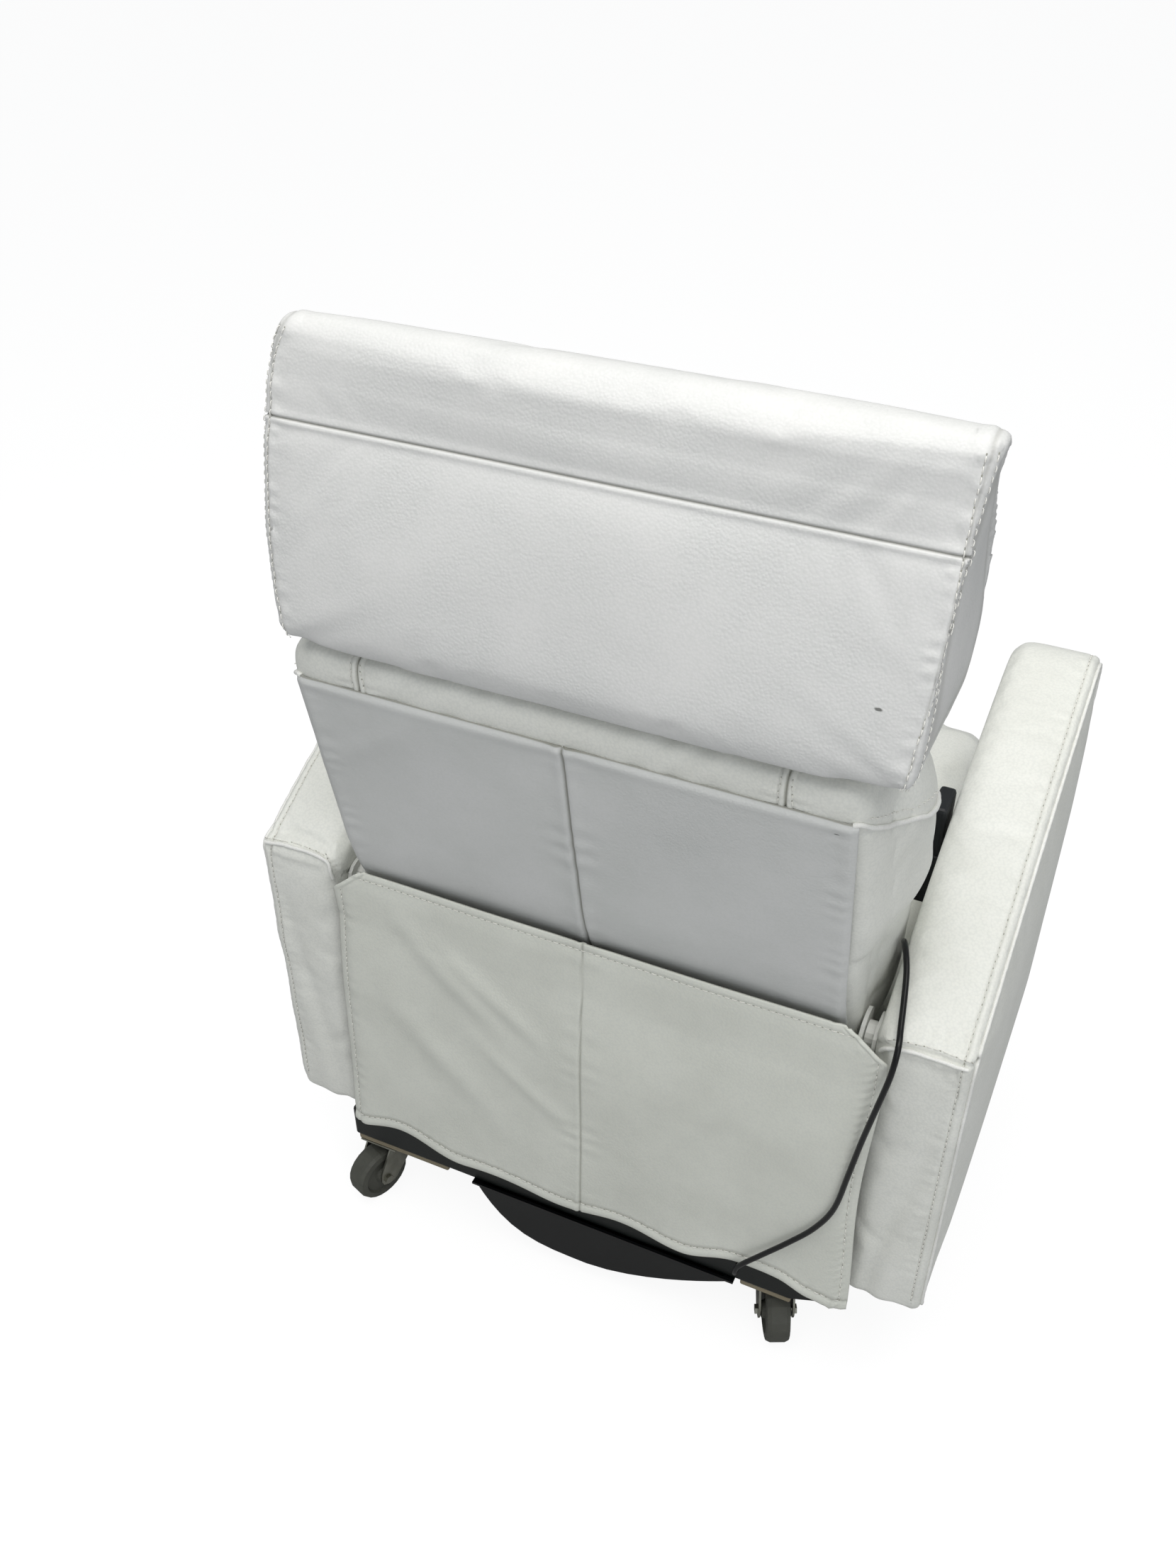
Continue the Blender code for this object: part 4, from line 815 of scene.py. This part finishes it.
shape(headrest, headrest_seams, headrest_seam_shade)
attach(headrest, "headrest")
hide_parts("headrest_cushion")
skin_tree = surface_of(headrest)
for way, side_name in ((-1, "right"), (1, "left")):
    for number, inset in enumerate((0.0100, 0.0010)):
        heights = np.linspace(0.935, 1.208, 60)
        reach = rest_half - inset - end_draw(way * np.ones(60), heights)
        line = [Vector((rest_middle + way * r, foot.y + (z - foot.z) / (head.z - foot.z) * (head.y - foot.y)
                        - number * 0.0045, z))
                for r, z in zip(reach, heights)]
        topstitch(f"headrest_{side_name}_stitches_{number}", line, skin_tree, "headrest")


# ------------------------------------------------------------------ back
# The back's frame and its thick front cushion are upholstered as one skin. Above the cover
# panel it shows as a band with two twice-stitched seams and a piping at each corner.

back = foam_block("back_leather", ["back_shell", "back_cushion"], voxel=0.008, ease=4)


def side_blend(piece, rounds):
    """Smooths the join between frame and cushion on the back's sides."""
    co = points_of(piece)
    count = len(co)
    ends_of = np.array([tuple(e.vertices) for e in piece.data.edges])
    degree = np.bincount(ends_of.ravel(), minlength=count)[:, None]
    soft = np.clip((np.abs(co[:, 0]) - 0.262) / 0.01, 0, 1)[:, None] * (co[:, 2] > 0.50)[:, None]
    for _ in range(rounds):
        total = np.zeros_like(co)
        np.add.at(total, ends_of[:, 0], co[ends_of[:, 1]])
        np.add.at(total, ends_of[:, 1], co[ends_of[:, 0]])
        co = co + (total / degree - co) * 0.5 * soft
    put_points(piece, co)


side_blend(back, 14)


def back_hold(co):
    rear = co[:, 1] > at_depth(-0.2 * (co[:, 2] - 0.597) + 0.045)
    return np.clip(np.maximum(rear * 1.0, co[:, 2] < 0.56), 0, 1)


upholster(back, 0.010, back_hold, draw_in=0.002, pressure=3.0)
band_seams = (0.208, -0.2135)
for x in band_seams:
    cut_lines(back, (x, 0, 0), (1, 0, 0), (-0.009, -0.007, -0.005, -0.002, -0.0008, 0.0, 0.0008, 0.002, 0.005,
                                           0.007, 0.009), lambda p: p.z > 0.86)


def back_seams(co, no):
    band = (co[:, 2] > 0.872) * np.clip(no[:, 1] * 2.5, 0, 1)
    out = np.zeros(len(co))
    for x in band_seams:
        t = co[:, 0] - x
        out += band * (-0.0022 * bell(t, 0.0013) + 0.0010 * bell(np.abs(t) - 0.0038, 0.0022)
                       - 0.0010 * bell(np.abs(t) - 0.0070, 0.0012))
        out += band * 0.0012 * waver(co[:, 2], 0.012) * bell(np.abs(t) - 0.013, 0.008)
    out += band * 0.0010 * waver(co[:, 0] + co[:, 2] * 0.7, 0.047)
    # The sides swell over the arms, the right one more.
    rise = np.clip((co[:, 2] - 0.690) / 0.05, 0, 1) * np.clip((0.905 - co[:, 2]) / 0.06, 0, 1)
    sides = np.clip(np.abs(no[:, 0]) * 2 - 0.6, 0, 1) * np.sqrt(rise)
    out += sides * np.where(co[:, 0] < 0, 0.0200, 0.006) * np.clip((REAR + 0.05 - co[:, 1]) / 0.08, 0, 1)
    return out


# Painted shade along the band's two seams.
def back_seam_shade(co, no):
    band = (co[:, 2] > 0.872) * np.clip(no[:, 1] * 2.5, 0, 1)
    return sum(band * 0.8 * bell(co[:, 0] - x, 0.0011) for x in band_seams)


shape(back, back_seams, back_seam_shade)
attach(back, "back")
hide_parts("back_shell", "back_cushion")
skin_tree = surface_of(back)


def back_plane(height):
    return -0.003 - (height - 0.597) * 0.20


for side_name, x in zip(("left", "right"), band_seams):
    for number, off in enumerate((-0.0070, 0.0070)):
        line = [Vector((x + off, at_depth(back_plane(z) + 0.004), z)) for z in (0.889, 0.905, 0.922)]
        topstitch(f"band_{side_name}_stitches_{number}", line, skin_tree, "back", pitch=0.0075)
right_edge = [(-0.275, -0.063, 0.886), (-0.283, -0.066, 0.888), (-0.2895, -0.055, 0.884),
              (-0.2915, -0.035, 0.876), (-0.2925, -0.010, 0.862), (-0.2935, 0.037, 0.844),
              (-0.2935, 0.063, 0.834), (-0.2935, 0.101, 0.813), (-0.2935, 0.162, 0.781)]
for side_name, mirror in (("right", 1), ("left", -1)):
    line = [Vector((x * mirror, at_depth(d), z)) for x, d, z in right_edge]
    welt(f"back_{side_name}_piping", line, "back", skin_tree, radius=0.0024, sink=0.0004)
    above = [p + Vector((0, -0.004, 0.009)) for p in line[2:]]
    topstitch(f"back_{side_name}_stitches", above, skin_tree, "back")


# ------------------------------------------------------------------ rear cover panel
# Two pieces of leather joined down the middle and turned in at the edges, fixed over the back.


def grid_lines(length, step, details):
    """Places from 0 to 1 with even steps, and finer ones near each detail's place in metres."""
    places = list(np.linspace(0, 1, int(length / step) + 1))
    for place, offsets in details:
        places = [p for p in places if abs(p * length - place) > max(offsets) + step * 0.3]
        places += [(place + sign * offset) / length for offset in offsets for sign in (-1, 1)]
    return np.array(sorted({round(p, 7) for p in places if 0 <= p <= 1} | {0.0, 1.0}))


def leather_panel(name, us, vs, surface, thick, material):
    """A sheet on surface(u, v) with its thickness."""
    u, v = np.meshgrid(us, vs)
    co = surface(u.ravel(), v.ravel())
    wide, tall = len(us), len(vs)
    corner = (np.arange(tall - 1)[:, None] * wide + np.arange(wide - 1)[None]).ravel()
    faces = np.stack([corner, corner + wide, corner + wide + 1, corner + 1], axis=1)
    mesh = bpy.data.meshes.new(name)
    mesh.from_pydata(co.tolist(), [], faces.tolist())
    piece = bpy.data.objects.new(name, mesh)
    bpy.context.scene.collection.objects.link(piece)
    if mesh.polygons[len(faces) // 2].normal.y < 0:
        mesh.flip_normals()
    step = piece.modifiers.new("thickness", "SOLIDIFY")
    step.thickness = thick
    step.offset = -1
    apply_all(piece)
    piece.data.materials.append(material)
    piece.data.shade_smooth()
    return piece


# Stores painted shade for a sheet's seams and folds, from 0 to 1 per point.
def paint_shade(piece, amount):
    mark = piece.data.attributes.new("painted_shade", "FLOAT", "POINT")
    mark.data.foreach_set("value", np.clip(amount(points_of(piece)), 0, 1).astype(np.float32))


cover_left, cover_right, cover_low, cover_high = 0.2775, -0.2795, 0.574, 0.8885


def cover_seam(x, z):
    return x + 0.0005 + (z - 0.597) * 0.012


def cover_surface(u, v):
    x = cover_left + (cover_right - cover_left) * u
    z = cover_low + (cover_high - cover_low) * v
    bend = np.maximum(0.0, 0.665 - z) ** 2 * 1.5
    depth = back_plane(z) + bend
    edge = np.minimum(x - cover_right, cover_left - x)
    top = cover_high - z
    turn = np.minimum(edge, top)
    depth += 0.0022 * bell(edge, 0.0045) + 0.0030 * bell(top, 0.0035)
    depth -= 0.0012 * bell(turn - 0.008, 0.005)
    seam = cover_seam(x, z)
    depth += 0.0030 * bell(seam, 0.0016) - 0.0014 * bell(np.abs(seam) - 0.006, 0.0045)
    depth -= 0.0013 * np.sin(x * 21 + z * 9) * np.sin(z * 26 + 1) * np.clip(turn / 0.02, 0, 1)
    depth -= 0.0010 * waver(z, 0.034) * bell(np.abs(seam) - 0.012, 0.012)
    depth -= 0.0009 * waver(z, 0.021) * bell(edge - 0.014, 0.010)
    fold = ((x - 0.215) * 0.75 + (z - 0.815)) / 1.25
    depth -= 0.0018 * bell(fold, 0.012) * bell(x - 0.215, 0.050)
    pinch = np.hypot(x + 0.2605, z - 0.873)
    depth += 0.0016 * bell(pinch, 0.004)
    return np.stack([x, REAR - depth, z], axis=1)


near_edge = (0.0, 0.0015, 0.003, 0.005, 0.0075)
seam_steps = (0.0, 0.0008, 0.0016, 0.0028, 0.0045, 0.007)
cover_wide = cover_left - cover_right
us = grid_lines(cover_wide, 0.0042, ((0.0, near_edge), (cover_wide, near_edge),
                                     (cover_left + 0.0024, seam_steps)))
vs = grid_lines(cover_high - cover_low, 0.0040, ((cover_high - cover_low, near_edge),))
# The cover's hide is a darker copy of the same white leather: painted shade, as the cover faces down, away
# from the overhead light.
cover_shaded_hide = leather("pebbled_cover_leather_painted_shade", light="#d4d5d4", shade="#caccca", marks=(
    # This mark darkens the pinched dent at the top right corner: painted shade.
    ((-0.2600, at_depth(back_plane(0.873)), 0.8735), (0.0030, 0.02, 0.0012)),))
cover = leather_panel("rear_cover_leather", us, vs, cover_surface, 0.0036, cover_shaded_hide)
# Painted shade along the centre seam and along the fold of the top edge.
paint_shade(cover, lambda co: 0.75 * bell(cover_seam(co[:, 0], co[:, 2]), 0.0011)
     + 0.8 * bell(cover_high - co[:, 2], 0.0008) * (co[:, 2] > cover_high - 0.004))
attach(cover, "back")
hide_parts("upper_cover")


# ------------------------------------------------------------------ rear flap
# A loose leather flap hangs over the opening behind the seat: two halves joined down the
# middle, top corners clipped, the border turned in and topstitched, the hem left wavy.

hem = np.array([(-0.3330, 0.158), (-0.2925, 0.170), (-0.2505, 0.180), (-0.2005, 0.177), (-0.1325, 0.162),
                (-0.0455, 0.168), (0.0165, 0.165), (0.0845, 0.164), (0.1545, 0.169), (0.2465, 0.185),
                (0.3195, 0.171)])
flap_top = 0.600
flap_lean = 0.0150  # how far the top edge leans forward to the cover


def flap_sides(v):
    clip = np.maximum(0.0, (v - 0.925) / 0.075)
    waist = 0.007 * np.sin(np.pi * np.clip(v / 0.9, 0, 1)) ** 2
    return 0.3195 - 0.014 * v - 0.034 * clip, -(0.3320 - 0.002 * v - 0.041 * clip - waist), clip


def hem_height(x):
    place = np.clip(np.searchsorted(hem[:, 0], x) - 1, 0, len(hem) - 2)
    t = np.clip((x - hem[place, 0]) / (hem[place + 1, 0] - hem[place, 0]), 0, 1)
    return hem[place, 1] + (hem[place + 1, 1] - hem[place, 1]) * t * t * (3 - 2 * t)


def flap_surface(u, v):
    left, right_side, clip = flap_sides(v)
    x = left + (right_side - left) * u
    bottom = hem_height(x)
    z = bottom * (1 - v) + flap_top * v
    free = np.clip((v - 0.82) / 0.12, 0, 1)
    out = np.zeros_like(x)
    for x0, z0, slant, width, height in ((0.2425, 0.560, 0.85, 0.018, 0.0052),
                                         (0.1925, 0.545, 0.75, 0.013, 0.0044),
                                         (0.2575, 0.430, 0.95, 0.022, 0.0042),
                                         (0.1500, 0.420, 0.80, 0.012, 0.0026),
                                         (-0.2075, 0.520, -1.9, 0.018, 0.0030)):
        run = (x0 - x) if slant > 0 else (x - x0)
        along = np.clip(run / 0.16, 0, 1)
        off = (z - (z0 - abs(slant) * run)) / math.hypot(1, slant)
        out += height * np.sin(np.pi * along) * bell(off, width)
    loose = np.clip(1 - (z - 0.16) / 0.16, 0, 1)
    out += 0.0030 * loose ** 2 * (1 + np.sin(2 * np.pi * (x / 0.155 + 0.1)))
    edge = np.minimum(x - right_side, left - x)
    hug = 0.0085 * (1 - free) * bell(edge, 0.012)
    rise = z - bottom
    drop = flap_top - z
    out += 0.0011 * bell(edge - 0.0045, 0.0032) - 0.0009 * bell(edge - 0.0095, 0.0020)
    out += 0.0012 * bell(rise - 0.006, 0.0055) - 0.0010 * bell(rise - 0.0145, 0.0022)
    out += 0.0009 * bell(drop - 0.005, 0.004) - 0.0007 * bell(drop - 0.0095, 0.002)
    right_hand = np.clip((-x - 0.2) / 0.05, 0, 1)
    out += 0.0011 * right_hand * np.sin(2 * np.pi * (z + edge * 0.8) / 0.0125) * bell(edge - 0.015, 0.0075)
    out += 0.0007 * (1 - right_hand) * waver(z, 0.024) * bell(edge - 0.014, 0.009)
    out += 0.0007 * waver(x, 0.019) * bell(rise - 0.021, 0.009)
    seam = x + 0.0005
    out += -0.0016 * bell(seam, 0.0014) + 0.0008 * bell(seam - 0.0045, 0.0035)
    out += 0.0006 * waver(z, 0.027) * bell(np.abs(seam) - 0.012, 0.012)
    out += 0.0011 * np.sin(x * 19 + z * 13 + 2) * np.sin(z * 21 - x * 4) * np.clip(edge / 0.03, 0, 1)
    lean = flap_lean * np.clip((v - 0.55) / 0.45, 0, 1) ** 1.5
    depth = -0.0172 + hug - 0.0034 - 0.0040 * free + lean - np.maximum(out, -0.0009 - 0.4 * hug)
    return np.stack([x, REAR - depth, z], axis=1)


flap_wide, flap_tall = 0.650, 0.43
border = (0.0, 0.0015, 0.003, 0.0045, 0.006, 0.0078, 0.0095, 0.0112, 0.013)
us = grid_lines(flap_wide, 0.0044, ((0.0, border), (flap_wide, border), (0.3195, seam_steps)))
vs = grid_lines(flap_tall, 0.0031, ((0.0, border), (flap_tall, border)))
# The flap's hide is a yellower, darker copy of the same white leather: the hue is its own, the darkness is
# painted shade.
flap_shaded_hide = leather("pebbled_flap_leather_painted_shade", light="#dddfd6", shade="#d0d2c9")
flap = leather_panel("rear_flap_leather", us, vs, flap_surface, 0.0032, flap_shaded_hide)


# Painted shade along the centre seam, in a stripe above the hem's turned-in edge, and along the hem's fold.
def flap_seam_shade(co):
    rise = co[:, 2] - hem_height(co[:, 0])
    return (0.55 * bell(co[:, 0] + 0.0005, 0.0010) + 0.42 * bell(rise - 0.0165, 0.0022)
            + 0.8 * bell(rise, 0.0007))


paint_shade(flap, flap_seam_shade)
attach(flap, "base")
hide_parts("rear_flap")
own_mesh(flap)
skin_tree = surface_of(flap)


def flap_line(us, vs):
    rows = flap_surface(np.array(us, float), np.array(vs, float))
    return [Vector(row) for row in rows]


inset = 0.0095 / flap_wide
rise = 0.0145 / flap_tall
ramp = np.linspace(0, 1, 60)
for side_name, across, up in (("left", [inset] * 60, rise + (0.92 - rise) * ramp),
                              ("right", [1 - inset] * 60, rise + (0.92 - rise) * ramp),
                              ("hem", inset + (1 - 2 * inset) * ramp, [rise] * 60),
                              ("top", inset + (1 - 2 * inset) * ramp, [1 - 0.0095 / flap_tall] * 60)):
    row = topstitch(f"flap_{side_name}_stitches", flap_line(across, up), skin_tree, "base")
    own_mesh(row)


# ------------------------------------------------------------------ arms
# Each arm is a padded box: inner and outer side panels, and one strip that runs up the rear,
# along the arched top and down over the nose, topstitched beside its outer edge and piped
# across the top of the rear face.

rear_piping = {
    "right": [(-0.312, 0.0, 0.566), (-0.320, 0.0, 0.577), (-0.332, 0.0, 0.583), (-0.347, 0.0, 0.585),
              (-0.376, 0.0, 0.586), (-0.4065, 0.0, 0.584)],
    "left": [(0.313, 0.0, 0.561), (0.316, 0.0, 0.578), (0.324, 0.0, 0.592), (0.345, 0.0, 0.598),
             (0.377, 0.0, 0.597), (0.4065, 0.0, 0.592)]}
for side_name, side in (("right", -1), ("left", 1)):
    arm = foam_block(f"arm_{side_name}_leather", [f"arm_{side_name}"])
    piping = np.array(rear_piping[side_name])
    order = np.argsort(piping[:, 0])

    def arm_hold(co):
        outer = bell(0.404 - np.abs(co[:, 0]), 0.007)
        rear = bell(co[:, 2] - 0.585, 0.008) * (co[:, 1] > at_depth(0.02))
        return np.clip(np.maximum(np.maximum(outer, rear * 0.8), np.abs(co[:, 0]) < 0.314), 0, 1)

    upholster(arm, 0.005, arm_hold, draw_in=0.0015, pressure=3.0)
    cut_lines(arm, (side * 0.3985, 0, 0), (side, 0, 0), (-0.005, -0.0025, -0.0012, 0.0, 0.0012, 0.0025, 0.005,
                                                         0.0075, 0.0095, 0.011), lambda p: True)
    cut_lines(arm, (0, 0, 0.585), (0, 0, 1), (-0.012, -0.006, -0.003, 0.0, 0.003, 0.006, 0.009, 0.012),
              lambda p: p.y > at_depth(0.03))

    def arm_seams(co, no):
        t = np.abs(co[:, 0]) - 0.3985
        facing = np.clip(np.maximum(no[:, 1], no[:, 2]) * 2, 0, 1) * (co[:, 2] > 0.2)
        along = co[:, 1] + co[:, 2]
        out = facing * (-0.0011 * bell(t, 0.0014) + 0.0010 * bell(t - 0.0055, 0.004)
                        + 0.0007 * waver(along, 0.014) * bell(t + 0.008, 0.007))
        rear = np.clip(no[:, 1] * 2 - 0.3, 0, 1)
        seam = np.interp(co[:, 0], piping[order, 0], piping[order, 2])
        rise = co[:, 2] - seam
        near = (co[:, 1] > at_depth(0.03)) * 1.0
        out += near * (-0.0022 * bell(rise, 0.0022) + 0.0008 * bell(rise - 0.005, 0.004)
                       + 0.0013 * waver(co[:, 0], 0.015) * bell(rise + 0.012, 0.011)
                       + 0.0009 * waver(co[:, 0] + 0.3, 0.018) * bell(rise - 0.010, 0.008))
        fold = np.abs(co[:, 0]) - 0.366 + 0.02 * np.sin(co[:, 2] * 9)
        out -= rear * 0.0022 * bell(fold, 0.010) * np.clip((0.55 - co[:, 2]) / 0.1, 0, 1)
        out += rear * 0.0018 * bell(fold - 0.018, 0.012) * np.clip((0.56 - co[:, 2]) / 0.08, 0, 1)
        out += rear * 0.0008 * np.sin(co[:, 2] * 55 + co[:, 0] * 30) * np.sin(co[:, 0] * 60)
        top = np.clip(no[:, 2] * 2 - 0.6, 0, 1)
        for d0 in (0.06, 0.085, 0.115):
            off = (REAR - co[:, 1]) - d0 - (np.abs(co[:, 0]) - 0.33) * 0.8
            out += top * 0.0009 * bell(off, 0.006) * bell(np.abs(co[:, 0]) - 0.335, 0.022)
        return out

    # Painted shade along the outer seam.
    def arm_seam_shade(co, no):
        t = np.abs(co[:, 0]) - 0.3985
        return 0.22 * bell(t, 0.0011) * (co[:, 2] > 0.2)

    shape(arm, arm_seams, arm_seam_shade)
    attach(arm, "base")
    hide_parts(f"arm_{side_name}")
    skin_tree = surface_of(arm)
    ring = girth(arm, (side * 0.3985, 0, 0), (1, 0, 0))
    run = longest_run(ring, lambda p: p.z > 0.195)
    topstitch(f"arm_{side_name}_edge_stitches", run, skin_tree, "base")
    ring = girth(arm, (side * 0.4085, 0, 0), (1, 0, 0))
    welt(f"arm_{side_name}_edge_piping", longest_run(ring, lambda p: p.z > 0.176), "base", skin_tree,
         radius=0.0019, sink=0.0006)
    line = [Vector((x, at_depth(-0.001), z)) for x, d, z in piping]
    welt(f"arm_{side_name}_rear_piping", line, "base", skin_tree, radius=0.0022, sink=0.0003)
    above = [p + Vector((0, -0.003, 0.0095)) for p in line[1:]]
    topstitch(f"arm_{side_name}_rear_stitches", above, skin_tree, "base")


# ------------------------------------------------------------------ seat
# A long seat cushion with a waterfall front, and a padded skirt wrapped round the seat box.

seat = foam_block("seat_cushion_leather", ["seat_cushion"])


def seat_hold(co):
    return np.clip((0.398 - co[:, 2]) / 0.01, 0, 1)


upholster(seat, 0.016, seat_hold, draw_in=0.004)
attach(seat, "base")
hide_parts("seat_cushion")

skirt = foam_block("seat_skirt_leather", ["seat_apron"], voxel=0.005, ease=1)
upholster(skirt, 0.002, lambda co: np.ones(len(co)), draw_in=0.0, sewn=False)
skirt_rise = 0.013
co = points_of(skirt)
co[:, 2] += skirt_rise * np.clip((co[:, 2] - 0.320) / 0.04, 0, 1)
put_points(skirt, co)
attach(skirt, "base")
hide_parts("seat_apron")
